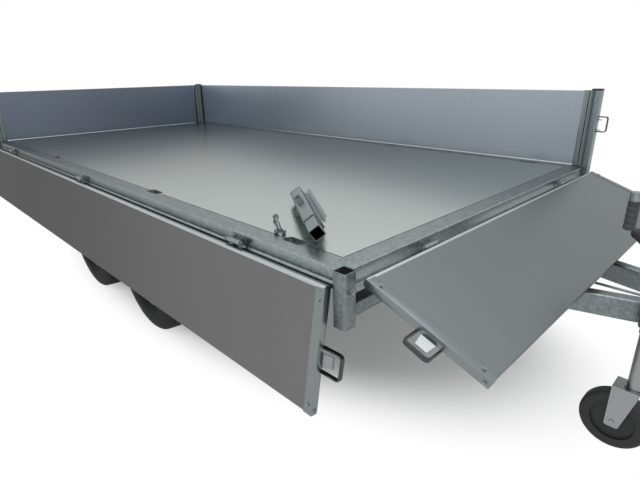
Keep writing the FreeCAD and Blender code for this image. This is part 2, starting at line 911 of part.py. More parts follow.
def wheel(centre, hand):
    """A pressed steel wheel with its hub, drum and dust cap."""
    half = bead_half + rim_metal / 2 + running_fit
    seat = rim_radius - rim_metal / 2
    well = rim_radius - rim_well_depth
    well_half, slope_half = [half * share for share in well_shares]
    line = [V(well_half, well), V(slope_half, seat), V(half, seat), V(half, rim_radius + rim_flange)]
    barrel = mitred_strip(flipped(line) + line, rim_metal).revolve(O, X, 360)
    face = disc_offset
    pressed = mitred_strip([
        V(face, disc_bore), V(face, disc_flat), V(face + disc_ridge_out, disc_ridge),
        V(face - disc_foot_in, well - rim_metal / 2),
    ], rim_metal).revolve(O, X, 360)
    holes = []
    for number in range(hand_hole_count):
        turn = 2 * pi * number / hand_hole_count
        spot = V(0, cos(turn), sin(turn)) * hand_hole_circle
        holes.append(disc(hand_hole, face + disc_ridge_out + cut_overrun, spot, X))
    bore = spindle_radius + running_fit
    back = V(face - drum_length, 0, 0)
    hub = ring(hub_radius, bore, drum_length + hub_past_disc, back, X)
    drum = ring(drum_radius, bore, drum_length - rim_metal / 2, back, X)
    cap = disc(hub_cap_radius, hub_cap_length, V(face + hub_past_disc, 0, 0), X)
    return place(fuse([barrel, pressed.cut(holes), hub, drum, cap]), centre, Y * hand, Z)


def wheel_centre(name):
    """A wheel's middle and its hand, +1 on the left."""
    hand = 1 if name.endswith("l") else -1
    axle_name = "front" if name.startswith("f") else "rear"
    return V(hub_x(axle_name), hand * wheel_middle, hub_height), hand


def axle(which):
    """A rubber torsion axle: square tube, two trailing arms, spindles and backplates."""
    hub = V(hub_x(which), 0, hub_height)
    root = V(hub.x + arm_reach, 0, leg_foot - axle_tube / 2)
    arm_outer = tyre_outer_face - tyre_width - arm_clear
    half = arm_outer - arm_thickness
    plate_y = wheel_middle + disc_offset - drum_length - backplate_gap - backplate_gauge
    spindle_end = wheel_middle + disc_offset + hub_past_disc - spindle_gap
    tube = box_tube(axle_tube, axle_tube, axle_tube_wall, axle_tube_corner, 2 * half)
    parts = [place(tube, root - Y * half, Z, X)]
    length = (hub - root).Length
    along = (hub - root).normalize()
    arm = fuse([
        polygon([V(0, -arm_width / 2), V(length, -arm_tip_width / 2),
                 V(length, arm_tip_width / 2), V(0, arm_width / 2)]).extrude(Z * arm_thickness),
        disc(arm_width / 2, arm_thickness, O, Z),
        disc(arm_tip_width / 2, arm_thickness, X * length, Z),
    ])
    for hand in (-1, 1):
        outwards = Y * hand
        parts.append(place(arm, root + outwards * half, along, outwards.cross(along)))
        parts.append(disc(boss_radius, plate_y - arm_outer, hub + outwards * arm_outer, outwards))
        parts.append(disc(drum_radius, backplate_gauge, hub + outwards * plate_y, outwards))
        parts.append(disc(spindle_radius, spindle_end - plate_y, hub + outwards * plate_y, outwards))
    return [fuse(parts)]


def guard_path(reach):
    """The line of a mudguard over its two wheels, at a distance from their hubs."""
    front = V(hub_x("front"), hub_height, 0)
    rear = V(hub_x("rear"), hub_height, 0)
    arcs = []
    for hub, hand in ((front, 1), (rear, -1)):
        turns = [radians(-guard_drop), radians(90 - guard_drop) / 2, radians(90)]
        points = [hub + V(hand * cos(turn), sin(turn)) * reach for turn in turns]
        arcs.append(Part.Arc(*points).toShape())
    line = Part.makeLine(front + Y * reach, rear + Y * reach)
    return Part.Wire([arcs[0], line, arcs[1]])


def mudguards():
    """A rolled guard over each pair of wheels, under the deck's edge, with a stay to the beam."""
    under = deck_top - rim_depth - rim_gauge / 2 - guard_gauge
    reach = under + guard_gauge / 2 - hub_height
    sheet = guard_path(reach).makeOffset2D(guard_gauge / 2, 0, True, False)
    lip = guard_path(reach - guard_lip / 2).makeOffset2D(guard_lip / 2, 0, True, False)
    outer = wheel_middle + guard_width / 2
    body = fuse([sheet.extrude(Z * guard_width), lip.extrude(Z * guard_gauge)])
    stay_x = (hub_x("front") + hub_x("rear")) / 2
    stay = block(V(stay_x - stay_width / 2, beam_offset, under - stay_gauge),
                 V(stay_x + stay_width / 2, outer - guard_gauge, under))
    left = fuse([place(body, Y * outer, X, Z), stay])
    return [left, left.mirror(O, Y)]


def brake_pivot():
    """The middle of the brake lever's pin."""
    return V(-leg_apex_reach - brake_back, -brake_aside, leg_top + saddle_gauge + brake_lug_rise)


def brake_lugs():
    """Two round-topped lugs either side of the brake lever."""
    pivot = brake_pivot()
    lugs = []
    for hand in (-1, 1):
        inner = pivot.y + hand * brake_lever_width / 2
        low, high = sorted((inner, inner + hand * brake_lug_gauge))
        foot = V(pivot.x - brake_lug_reach, low, leg_top + saddle_gauge)
        lugs.append(block(foot, V(pivot.x + brake_lug_reach, high, pivot.z)))
        lugs.append(disc(brake_lug_reach, brake_lug_gauge, V(pivot.x, low, pivot.z), Y))
    return lugs


def brake_rod():
    """The pull rod under the deck, its hanger on the front cross tube, and its equaliser."""
    end = housing_rear - rod_length
    hanger_x = cross_tube_x(True)
    return [
        disc(rod_radius, rod_length, V(end, 0, leg_middle), X),
        block(V(hanger_x - hanger_gauge / 2, -hanger_width / 2, leg_middle - hanger_drop),
              V(hanger_x + hanger_gauge / 2, hanger_width / 2, leg_top)),
        block(V(end - equaliser_gauge, -equaliser_half, leg_middle - equaliser_depth / 2),
              V(end, equaliser_half, leg_middle + equaliser_depth / 2)),
    ]


def overrun_housing():
    """The overrun housing under its saddle plate, with its shaft, the brake's lugs and rod."""
    body = rounded_rectangle(housing_width, leg_depth, housing_corner)
    body = body.extrude(Z * (housing_nose - nose_length - housing_rear))
    nose = Part.makeCone(nose_root_radius, nose_radius, nose_length)
    shaft_end = -head_length + shaft_engagement - shaft_end_gap
    rear_half = leg_offset(-housing_rear) + leg_width / 2
    front_half = leg_apex_offset + leg_width / 2
    saddle = polygon([
        V(housing_rear, -rear_half), V(-leg_apex_reach, -front_half),
        V(-leg_apex_reach, front_half), V(housing_rear, rear_half),
    ]).extrude(Z * saddle_gauge)
    saddle.translate(Z * leg_top)
    whole = fuse([
        place(body, V(housing_rear, 0, leg_middle), Y, Z),
        place(nose, V(housing_nose - nose_length, 0, leg_middle), Y, Z),
        disc(shaft_radius, shaft_end - housing_nose, V(housing_nose, 0, leg_middle), X),
        saddle, *brake_lugs(), *brake_rod(),
    ])
    return [whole.cut(disc(brake_pin, 2 * brake_lever_width, brake_pivot() - Y * brake_lever_width, Y))]


def gaiter():
    """The rubber bellows over the shaft, with a cuff at each end."""
    length = -head_length - gaiter_gap - housing_nose
    pitch = (length - 2 * gaiter_cuff) / gaiter_folds
    low = gaiter_radius - gaiter_fold_depth
    bore = shaft_radius + running_fit
    line = [V(0, bore), V(0, low)]
    for fold in range(gaiter_folds):
        start = gaiter_cuff + fold * pitch
        line += [V(start, low), V(start + pitch / 2, gaiter_radius)]
    line += [V(length - gaiter_cuff, low), V(length, low), V(length, bore)]
    body = polygon(line).revolve(O, X, 360)
    return [place(body, V(housing_nose, 0, leg_middle), X, Y)]


def handle_pivot():
    """The middle of the coupling handle's pin."""
    return V(-handle_back, 0, handle_height)


def coupling_head():
    """A pressed ball coupling: neck on the shaft, socket over the ball, and the handle's ears."""
    root = rounded_rectangle(neck_width, neck_depth, neck_corner)
    tip = rounded_rectangle(neck_tip_width, neck_tip_depth, neck_corner)
    places = [(root, -head_length, leg_middle), (root, -head_length + shaft_engagement, leg_middle),
              (tip, -ball_radius, leg_middle - neck_tip_drop)]
    wires = [place(face, V(x, 0, z), Y, Z).OuterWire for face, x, z in places]
    parts = [Part.makeLoft(wires, True, True)]
    parts.append(disc(head_width / 2, cup_drop + cup_rise, Z * -cup_drop, Z))
    parts.append(disc(lip_radius, lip_height, Z * -cup_drop, Z))
    parts.append(Part.makeSphere(head_width / 2, Z * cup_rise))
    pivot = handle_pivot()
    for hand in (-1, 1):
        low, high = sorted((hand * handle_width / 2, hand * (handle_width / 2 - ear_gauge)))
        parts.append(block(V(pivot.x - ear_reach, low, leg_middle), V(pivot.x + ear_reach, high, pivot.z)))
        parts.append(disc(ear_reach, ear_gauge, V(pivot.x, low, pivot.z), Y))
    throat = disc(ball_radius + ball_play, cup_drop, Z * -cup_drop, Z)
    cup = Part.makeSphere(ball_radius + ball_play)
    bore = disc(shaft_radius, shaft_engagement, V(-head_length, 0, leg_middle), X)
    pin = disc(handle_pin, handle_width, pivot - Y * (handle_width / 2), Y)
    return [fuse(parts).cut([throat, cup, bore, pin])]


def coupling_handle():
    """The coupling's locking handle, folded back over the neck and turning on a pin."""
    half = handle_width / 2 - ear_gauge - running_fit
    grip = mitred_strip([
        V(-ear_reach, ear_reach), V(-handle_length / 2, handle_rise),
        V(-handle_length + handle_rise, handle_rise), V(-handle_length, ear_reach),
    ], handle_gauge).extrude(Z * (2 * half))
    boss = disc(ear_reach + handle_gauge / 2, 2 * half, O, Z)
    pin = disc(handle_pin, handle_width, Z * (half - handle_width / 2), Z)
    return [place(fuse([grip, boss, pin]), handle_pivot() + Y * half, X, Z)]


def handbrake():
    """The parking brake lever, pulled on, with its grip."""
    pivot = brake_pivot()
    tip = V(deck_front + brake_tip_ahead, pivot.y, deck_top - brake_tip_drop)
    length = (tip - pivot).Length
    along = (tip - pivot).normalize()
    half = brake_lever_width / 2
    end = length + brake_grip_past
    whole = fuse([
        block(V(0, -brake_bar_depth / 2, -brake_bar_gauge / 2),
              V(length, brake_bar_depth / 2, brake_bar_gauge / 2)),
        disc(brake_lug_reach, brake_lever_width, Z * -half, Z),
        disc(brake_grip_radius, brake_grip_length, X * (end - brake_grip_length), X),
        Part.makeSphere(brake_grip_radius, X * end),
        disc(brake_pin, brake_lever_width + 2 * brake_lug_gauge, Z * (-half - brake_lug_gauge), Z),
    ])
    return [place(whole, pivot, along, Y.cross(along))]


def jockey_mast():
    """The outer tube in its clamp on the right leg, with the clamp's toggle."""
    top = deck_top + jockey_top_rise
    foot = jockey_axis + Z * (top - jockey_outer_length)
    band_at = jockey_axis + Z * (leg_middle - clamp_height / 2)
    apex, bend, _ = leg_line(-1)
    along = (bend - apex).normalize()
    aside = Z.cross(along)
    seat = apex + along * (jockey_axis - apex).dot(along) + aside * (leg_width / 2)
    gap = (jockey_axis - seat).dot(aside)
    half = clamp_height / 2
    plate = block(V(-clamp_length / 2, -half, 0), V(clamp_length / 2, half, clamp_gauge))
    bridge = block(V(-clamp_bridge / 2, -half, 0), V(clamp_bridge / 2, half, gap))
    bracket = place(plate.fuse(bridge), seat, along, aside.cross(along))
    screw_at = jockey_axis + aside * (jockey_outer + clamp_gauge / 2) + Z * leg_middle
    bar_at = screw_at + aside * (toggle_reach - toggle_radius) - Z * (toggle_length / 2)
    whole = fuse([
        disc(jockey_outer, jockey_outer_length + jockey_wall, foot, Z),
        disc(jockey_outer + clamp_gauge, clamp_height, band_at, Z),
        bracket, disc(toggle_radius, toggle_reach, screw_at, aside),
        disc(toggle_bar_radius, toggle_length, bar_at, Z),
    ])
    return [whole.cut(disc(jockey_outer - jockey_wall, jockey_outer_length, foot, Z))]


def jockey_crank():
    """The crank on the mast's head, its grip hanging down."""
    head = jockey_axis + Z * (deck_top + jockey_top_rise + jockey_wall)
    turn = radians(crank_turn)
    along = V(cos(turn), sin(turn), 0)
    arm = block(V(0, -crank_arm_width / 2, -crank_arm_gauge), V(crank_arm, crank_arm_width / 2, 0))
    grip_at = head + Z * (crank_rise - crank_grip_length) + along * crank_arm
    return [fuse([
        disc(crank_post, crank_rise, head, Z),
        place(arm, head + Z * crank_rise, along, Z.cross(along)),
        disc(crank_grip_radius, crank_grip_length, grip_at, Z),
    ])]


def jockey_inner():
    """The sliding inner tube, ending in a foot and the fork's stem."""
    radius = jockey_outer - jockey_wall - running_fit
    base = jockey_axis + Z * fork_top
    length = deck_top + jockey_top_rise - jockey_outer_length + jockey_engagement - fork_top
    return [fuse([
        ring(radius, radius - jockey_inner_wall, length, base, Z),
        disc(radius, inner_foot, base, Z),
        disc(stem_radius, stem_length, base - Z * stem_length, Z),
    ])]


def jockey_fork():
    """The swivelling fork, trailing, with the wheel's axle."""
    hub_z = ground + jockey_wheel_radius
    half = jockey_wheel_width / 2 + fork_side_gap + fork_gauge
    top = fork_top - fork_gap
    shelf = top - crown_thickness
    rear = -jockey_trail - fork_half_length
    parts = [disc(crown_radius, crown_thickness, Z * shelf, Z),
             block(V(rear, -half, shelf), V(fork_half_length, half, shelf + fork_gauge))]
    cheek = rounded_outline([
        (V(rear, hub_z - fork_foot), fork_corner),
        (V(-jockey_trail + fork_half_length, hub_z - fork_foot), fork_corner),
        (V(fork_half_length, shelf), fork_gauge / 2),
        (V(fork_half_length, shelf + fork_gauge), fork_gauge / 4),
        (V(rear, shelf + fork_gauge), fork_gauge / 4),
    ]).extrude(Z * fork_gauge)
    for outer in (half, fork_gauge - half):
        parts.append(place(cheek, Y * outer, X, Z))
    parts.append(disc(jockey_axle, 2 * half + fork_gauge,
                      V(-jockey_trail, -half - fork_gauge / 2, hub_z), Y))
    stem_hole = disc(stem_radius + running_fit, 2 * stem_length, Z * (fork_top - 2 * stem_length), Z)
    fork = fuse(parts).cut(stem_hole)
    return [place(fork, jockey_axis, X, Y)]


def jockey_wheel():
    """A solid rubber tyre on a dished centre."""
    half = jockey_wheel_width / 2
    floor = half - jockey_dish
    line = [V(half, jockey_wheel_radius), V(half, jockey_dish_radius), V(floor, jockey_dish_radius),
            V(floor, jockey_hub_radius), V(half, jockey_hub_radius), V(half, jockey_axle + running_fit)]
    body = polygon(flipped(line) + line).revolve(O, X, 360)
    rims = [edge for edge in body.Edges if abs(edge.Length - 2 * pi * jockey_wheel_radius) < running_fit]
    centre = jockey_axis + V(-jockey_trail, 0, ground + jockey_wheel_radius)
    return [place(body.makeFillet(jockey_tread_radius, rims), centre, Y * -1, X)]


def rear_lamps():
    """Lamp housings on the rear cross tube, set in so that the rear panel clears them."""
    housing = rounded_rectangle(lamp_width, lamp_height, lamp_corner).extrude(Z * lamp_depth)
    aside = rear_cross_half - lamp_in
    spot = V(deck_rear + cross_tube_setback, 0, beam_foot - lamp_height / 2)
    return [place(housing, spot + Y * (hand * aside), Y * -1, Z) for hand in (-1, 1)]


standing = corner_names[1:]
nodes = {
    "deck_rim": deck_rim(),
    "deck_floor": deck_floor(),
    "deck_bearers": deck_bearers(),
    "lashing_pans": lashing_pans(),
    "long_beams": long_beams(),
    "cross_tubes": cross_tubes(),
    "drawbar_legs": drawbar_legs(),
    "socket_front_right": [corner_socket(corner_names[0])],
    "corner_sockets": [corner_socket(name) for name in standing],
    "corner_posts": [at_corner(name, post_body()) for name in standing],
    "loose_post": [lay_down(post_body())],
    "post_caps": [at_corner(name, post_cap()) for name in standing] + [lay_down(post_cap())],
    "latch_keepers": [at_corner(name, ear) for name in standing for ear in post_keepers()]
    + [lay_down(ear) for ear in post_keepers()],
    "hinge_brackets": [
        side.put(hinge_fixed(along)) for side in sides.values() for along in hinge_places(side)
    ],
    "panel_rests": panel_rests(),
    "axle_front": axle("front"),
    "axle_rear": axle("rear"),
    "mudguards": mudguards(),
    "overrun_housing": overrun_housing(),
    "shaft_gaiter": gaiter(),
    "coupling_head": coupling_head(),
    "coupling_handle": coupling_handle(),
    "handbrake_lever": handbrake(),
    "jockey_mast": jockey_mast(),
    "jockey_crank": jockey_crank(),
    "jockey_inner": jockey_inner(),
    "jockey_fork": jockey_fork(),
    "jockey_wheel": jockey_wheel(),
    "rear_lamps": rear_lamps(),
}
for name, side in sides.items():
    nodes["panel_" + name] = [swing(name, closed_panel(side))]
    nodes["fittings_" + name] = panel_fittings(name)
for name in ("fl", "fr", "rl", "rr"):
    centre, hand = wheel_centre(name)
    nodes["tyre_" + name] = [tyre(centre)]
    nodes["wheel_" + name] = [wheel(centre, hand)]

os.makedirs("parts", exist_ok=True)
for name, shapes in nodes.items():
    solids = [solid for shape in shapes for solid in shape.Solids]
    whole = Part.makeCompound(solids) if len(solids) > 1 else solids[0]
    whole.exportStep("parts/" + name + ".step")
    print(name, len(solids), "valid" if whole.isValid() else "INVALID", round(whole.Volume / 1000), "cm3")
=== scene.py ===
"""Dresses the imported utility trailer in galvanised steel, zinc plate and rubber, and lights it.

The CAD solids keep their shapes and get their finishes here. What the CAD leaves plain is built as
bmesh pieces: the tyres' treads, the wheel nuts, the fasteners and the bolt left lying on the deck.
"""

from __future__ import annotations

import json
import logging
import math
from dataclasses import dataclass
from enum import Enum
from functools import cache

import bmesh
import bpy
from mathutils import Euler, Matrix, Vector

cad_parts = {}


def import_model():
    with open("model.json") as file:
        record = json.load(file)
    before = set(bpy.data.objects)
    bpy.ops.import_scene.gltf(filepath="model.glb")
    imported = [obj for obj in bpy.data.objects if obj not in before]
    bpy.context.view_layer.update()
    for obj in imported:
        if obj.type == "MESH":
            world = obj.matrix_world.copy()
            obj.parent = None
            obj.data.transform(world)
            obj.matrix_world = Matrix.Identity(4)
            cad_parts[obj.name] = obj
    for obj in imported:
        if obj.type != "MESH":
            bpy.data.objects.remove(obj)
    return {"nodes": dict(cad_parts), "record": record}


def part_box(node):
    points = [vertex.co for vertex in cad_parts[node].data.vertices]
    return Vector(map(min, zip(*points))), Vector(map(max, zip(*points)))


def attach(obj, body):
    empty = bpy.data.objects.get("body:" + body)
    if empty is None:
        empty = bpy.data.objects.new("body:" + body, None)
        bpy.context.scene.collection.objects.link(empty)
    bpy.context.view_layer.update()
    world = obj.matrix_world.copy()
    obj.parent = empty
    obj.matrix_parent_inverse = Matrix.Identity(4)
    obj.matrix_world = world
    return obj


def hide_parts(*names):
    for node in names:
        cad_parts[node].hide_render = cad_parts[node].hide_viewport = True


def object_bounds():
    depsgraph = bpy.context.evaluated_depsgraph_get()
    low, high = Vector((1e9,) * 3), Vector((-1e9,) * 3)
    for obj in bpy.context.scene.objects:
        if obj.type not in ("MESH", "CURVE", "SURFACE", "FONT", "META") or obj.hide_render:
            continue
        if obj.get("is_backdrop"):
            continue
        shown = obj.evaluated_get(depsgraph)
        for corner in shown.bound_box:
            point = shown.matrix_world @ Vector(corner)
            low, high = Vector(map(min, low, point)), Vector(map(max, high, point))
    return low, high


LOG = logging.getLogger("trailer")

Shape = bmesh.types.BMesh
Tree = bpy.types.NodeTree
Node = bpy.types.Node
Socket = bpy.types.NodeSocket
Pair = tuple[float, float]
Triple = tuple[float, float, float]

MM = 0.001
WHITE = "#ffffff"
UP = Vector((0, 0, 1))
HANDS = (-1.0, 1.0)
HEXAGON = 6
# Points nearer than this are one point.
MERGE = 0.01 * MM
# Edges that turn less than this are shaded smooth.
SMOOTH_BELOW = math.radians(35)


def linear(colour: str) -> tuple[float, float, float, float]:
    """Turns an sRGB hex colour to linear red, green, blue and alpha.

    Args:
        colour: six hex digits after a hash sign.

    Returns:
        The four linear channels.
    """
    channels = []
    for start in (1, 3, 5):
        value = int(colour[start:start + 2], 16) / 255
        channels.append(value / 12.92 if value <= 0.04045 else ((value + 0.055) / 1.055) ** 2.4)
    return (*channels, 1.0)


def feed(node: Node, sockets: dict) -> None:
    """Fills a node's inputs.

    Args:
        node: the node.
        sockets: input name or number, to a value, an output, or a node for its first output.
    """
    for name, value in sockets.items():
        value = value.outputs[0] if isinstance(value, Node) else value
        if isinstance(value, Socket):
            node.id_data.links.new(value, node.inputs[name])
        else:
            node.inputs[name].default_value = value


def add_node(tree: Tree, kind: str, sockets: dict | None = None,
             stops: tuple[tuple[float, str], ...] = (), **settings: object) -> Node:
    """Adds a node, with its settings, its values and its links.

    Args:
        tree: the tree that the node joins.
        kind: Blender's name for the node type.
        sockets: what feeds it, as in feed.
        stops: a colour ramp's places from zero to one, each with its hex colour.
        settings: the node's own fields.

    Returns:
        The new node.
    """
    node = tree.nodes.new(kind)
    for name, value in settings.items():
        setattr(node, name, value)
    feed(node, sockets or {})
    if stops:
        elements = node.color_ramp.elements
        while len(elements) < len(stops):
            elements.new(0.5)
        for element, (place, colour) in zip(elements, stops):
            element.position, element.color = place, linear(colour)
    return node


def new_material(name: str) -> tuple[bpy.types.Material, Node]:
    """Starts a material.

    Args:
        name: what it is and how its surface was made.

    Returns:
        The material and its shader.
    """
    material = bpy.data.materials.new(name)
    material.use_nodes = True
    return material, material.node_tree.nodes["Principled BSDF"]


class Grain(Enum):
    """Which way a sheet was rolled or brushed."""

    NONE = (1.0, 1.0, 1.0)
    ALONG_X = (0.02, 1.0, 1.0)
    ALONG_Z = (1.0, 1.0, 0.02)


@dataclass(frozen=True)
class PaintedLightRun:
    """Painted light and shade: how a sheet's colour is lightened or darkened from one end of a line to the
    other.
    """

    start: Triple
    end: Triple
    start_share: float
    end_share: float

    def apply(self, tree: Tree, place: Socket, colour: Node) -> Node:
        """Multiplies a colour by the painted light or shade at each place.

        Args:
            tree: the material's tree.
            place: the object's own coordinates.
            colour: the node that gives the colour.

        Returns:
            The node that gives the colour with its painted light and shade.
        """
        start = Vector(self.start)
        axis = Vector(self.end) - start
        moved = add_node(tree, "ShaderNodeMapping", {"Vector": place, "Location": -start})
        along = add_node(tree, "ShaderNodeVectorMath", {0: moved, 1: axis / axis.length_squared},
                         operation="DOT_PRODUCT")
        share = add_node(tree, "ShaderNodeMapRange", {
            "Value": along.outputs["Value"], "To Min": self.start_share, "To Max": self.end_share},
            interpolation_type="SMOOTHSTEP")
        return add_node(tree, "ShaderNodeVectorMath", {0: colour, "Scale": share}, operation="SCALE")


@dataclass(frozen=True)
class ZincFinish:
    """Zinc on steel: a grey metal whose crystals and rolling marks change its gloss."""

    name: str
    dark: str
    middle: str
    light: str
    roughness: Pair
    spangle: float = 0.0
    spangle_share: float = 0.45
    grain: Grain = Grain.NONE
    grain_size: float = 3 * MM
    bump: float = 0.08
    bump_depth: float = 0.3 * MM
    cloud: float = 0.7
    tone_limit: float = 0.5
    # Painted light and shade laid over the colour, where there is any.
    drift: PaintedLightRun | None = None
    edge_tint: float = 0.7

    def build(self) -> bpy.types.Material:
        """Makes the material.

        Returns:
            The finished material.
        """
        material, shader = new_material(self.name)
        tree = material.node_tree
        place = add_node(tree, "ShaderNodeTexCoord").outputs["Object"]
        turned = add_node(tree, "ShaderNodeMapping", {"Vector": place, "Scale": self.grain.value})
        cloud = add_node(tree, "ShaderNodeTexNoise", {
            "Vector": place, "Scale": 1 / self.cloud, "Detail": 3.0, "Roughness": 0.55})
        grain = add_node(tree, "ShaderNodeTexNoise", {
            "Vector": turned, "Scale": 1 / self.grain_size, "Detail": 4.0, "Roughness": 0.6})
        both = add_node(tree, "ShaderNodeMath", {0: cloud, 1: grain}, operation="ADD")
        tone = add_node(tree, "ShaderNodeMapRange", {"Value": both, "To Max": self.tone_limit})
        if self.spangle:
            crystal = add_node(tree, "ShaderNodeTexVoronoi", {"Vector": place, "Scale": 1 / self.spangle})
            shade = add_node(tree, "ShaderNodeSeparateColor", {"Color": crystal.outputs["Color"]})
            tone = add_node(tree, "ShaderNodeMix", {"Factor": self.spangle_share, 2: tone, 3: shade})
        colour = add_node(tree, "ShaderNodeValToRGB", {"Fac": tone}, (
            (0.15, self.dark), (0.5, self.middle), (0.85, self.light)))
        if self.drift:
            colour = self.drift.apply(tree, place, colour)
        rough = add_node(tree, "ShaderNodeMapRange", {
            "Value": tone, "To Min": self.roughness[0], "To Max": self.roughness[1]})
        height = add_node(tree, "ShaderNodeBump", {
            "Height": grain, "Strength": self.bump, "Distance": self.bump_depth})
        feed(shader, {"Base Color": colour, "Roughness": rough, "Normal": height, "Metallic": 1.0,
                      "Specular Tint": (self.edge_tint, self.edge_tint, self.edge_tint, 1.0)})
        return material


@dataclass(frozen=True)
class SatinSheet(ZincFinish):
    """Zinc and aluminium coated sheet, drawn upright: it reflects the horizon as a blur."""

    grain: Grain = Grain.ALONG_Z
    grain_size: float = 4 * MM
    bump: float = 0.03
    cloud: float = 1.1


@dataclass(frozen=True)
class MouldedFinish:
    """Rubber, plastic or paint: a plain colour under a grain of a real size."""

    name: str
    dark: str
    light: str
    roughness: Pair
    grain_size: float
    bump: float
    metallic: float = 0.0
    coat: float = 0.0
    gloss: float = 0.5
    bump_depth: float = 0.4 * MM
    dust_size: float = 111.11 * MM

    def build(self) -> bpy.types.Material:
        """Makes the material.

        Returns:
            The finished material.
        """
        material, shader = new_material(self.name)
        tree = material.node_tree
        place = add_node(tree, "ShaderNodeTexCoord").outputs["Object"]
        dust = add_node(tree, "ShaderNodeTexNoise", {
            "Vector": place, "Scale": 1 / self.dust_size, "Detail": 5.0})
        grain = add_node(tree, "ShaderNodeTexNoise", {
            "Vector": place, "Scale": 1 / self.grain_size, "Detail": 2.0})
        height = add_node(tree, "ShaderNodeBump", {
            "Height": grain, "Strength": self.bump, "Distance": self.bump_depth})
        colour = add_node(tree, "ShaderNodeValToRGB", {"Fac": dust}, (
            (0.3, self.dark), (0.75, self.light)))
        rough = add_node(tree, "ShaderNodeMapRange", {
            "Value": dust, "To Min": self.roughness[0], "To Max": self.roughness[1]})
        feed(shader, {"Base Color": colour, "Roughness": rough, "Normal": height, "Coat Weight": self.coat,
                      "Metallic": self.metallic, "Specular IOR Level": self.gloss})
        return material


class Finish(Enum):
    """The finishes. Most stand under the names of the record's material slots."""

    # Strip galvanised in the coil: smooth, cool grey.
    galvanised_strip = ZincFinish(
        "galvanised steel strip, rolled", "#687073", "#868f92", "#a1aaad", (0.24, 0.38), edge_tint=0.85)
    # The rim's strip shows its crystals where it is pressed. Its colour carries painted light: lighter
    # towards the front, darker towards the rear.
    rim_strip = ZincFinish(
        "galvanised steel strip, pressed", "#828a8b", "#929a9a", "#a2a9a9", (0.24, 0.4), spangle=9 * MM,
        grain_size=4 * MM, bump=0.05, edge_tint=0.55,
        drift=PaintedLightRun((-4.8, -1.0, 0.3), (-1.9, -1.0, 0.3), 0.8, 1.1))
    # The floor's sheet is the brightest: wide soft reflections, and a painted highlight that lightens it
    # towards the front right and darkens it towards the rear left.
    floor_sheet = ZincFinish(
        "galvanised steel sheet, skin passed", "#b8c0be", "#c2cac7", "#ccd3d0", (0.2, 0.3),
        grain=Grain.ALONG_X, grain_size=8 * MM, bump=0.03, cloud=0.9,
        drift=PaintedLightRun((-3.4, 0.3, 0.3), (-1.9, -0.6, 0.3), 0.8, 1.03), edge_tint=0.63)
    # The drop sides' sheet: a satin grey, with painted light that lightens it towards the left.
    panel_sheet = SatinSheet(
        "zinc and aluminium coated sheet, satin", "#757b7c", "#7d8384", "#858b8c", (0.3, 0.42),
        edge_tint=0.6, drift=PaintedLightRun((-1.2, -0.6, 0.2), (-1.2, 1.0, 0.2), 1.0, 1.1))
    # The lowered long side: a duller copy of the sheet without the blue, in painted shade, darkest towards
    # the rear.
    panel_sheet_dull = SatinSheet(
        "zinc and aluminium coated sheet, dull, painted shade", "#6f7070", "#787878", "#808080", (0.34, 0.46),
        edge_tint=0.42, drift=PaintedLightRun((-5.0, -1.0, 0.1), (-1.7, -1.0, 0.1), 0.84, 1.0))
    # The closed long side: a bluer copy of the sheet with painted light, lightest towards the rear.
    panel_sheet_cool = SatinSheet(
        "zinc and aluminium coated sheet, cool, painted light", "#868e96", "#9199a1", "#9ea6ad", (0.3, 0.42),
        edge_tint=0.75, drift=PaintedLightRun((-5.2, 1.0, 0.5), (-3.4, 1.0, 0.5), 1.75, 1.22))
    # The tailboard: the darkest copy of the sheet, in painted shade.
    panel_sheet_dark = SatinSheet(
        "zinc and aluminium coated sheet, painted deep shade", "#6a7280", "#717986", "#79818d", (0.3, 0.42))
    # Dipped after welding: large crystals, each with its own gloss.
    galvanised_dip = ZincFinish(
        "steel, hot-dip galvanised", "#6a7172", "#7c8384", "#8f9697", (0.34, 0.5), spangle=9 * MM,
        grain_size=5 * MM, bump=0.12)
    # Plated small parts: a soft, pale silver.
    zinc_plated = ZincFinish(
        "steel, bright zinc plated", "#7f8383", "#959999", "#acb0af", (0.32, 0.44), grain_size=2 * MM)
    # The sheets' folded feet, coloured brighter than the sheets: a painted highlight.
    sheet_edge = ZincFinish("coated sheet, folded edge", "#a7aeaf", "#b8bfbf", "#c8cecd", (0.2, 0.34))
    # The strips over the panels' ends are a shade lighter than the sheets.
    end_strip = ZincFinish(
        "galvanised steel strip, folded", "#787f80", "#838a8b", "#8f9696", (0.24, 0.38))
    # The latches' drop handles: a darker copy of the plated steel, in painted shade, that reads nearly
    # black against the floor.
    latch_steel = ZincFinish(
        "steel, plated, in painted shade", "#3c3f3f", "#4d5151", "#656969", (0.12, 0.26), grain_size=2 * MM)
    # Moulded rubber: black, with a dull skin.
    black_rubber = MouldedFinish("rubber, moulded", "#131414", "#222323", (0.55, 0.75), 1.2 * MM, 0.15)
    # Tyre rubber: the blackest thing here, with hardly a shine.
    tyre_rubber = MouldedFinish(
        "tyre rubber, moulded", "#0e0f0f", "#1a1b1b", (0.6, 0.8), 1.5 * MM, 0.2, gloss=0.15)
    # Polypropylene with a grained skin.
    black_plastic = MouldedFinish(
        "polypropylene, grained", "#151617", "#222324", (0.42, 0.58), 1.0 * MM, 0.25)
    # The crank's and the brake's sleeves, worn to a dark grey.
    grip_plastic = MouldedFinish("polypropylene, worn", "#2e3031", "#3d3f40", (0.45, 0.6), 1.0 * MM, 0.2)
    # Pressed wheels in silver paint: fine metal flake under a clear coat.
    wheel_steel = MouldedFinish(
        "steel, silver painted", "#8f9395", "#a4a8aa", (0.35, 0.45), 0.8 * MM, 0.05, metallic=0.6,
        coat=0.3)
    # Lens in clear red acrylic.
    lamp_red = MouldedFinish(
        "acrylic lens, red", "#7a0b0b", "#931111", (0.08, 0.14), 2.0 * MM, 0.02, coat=0.6)


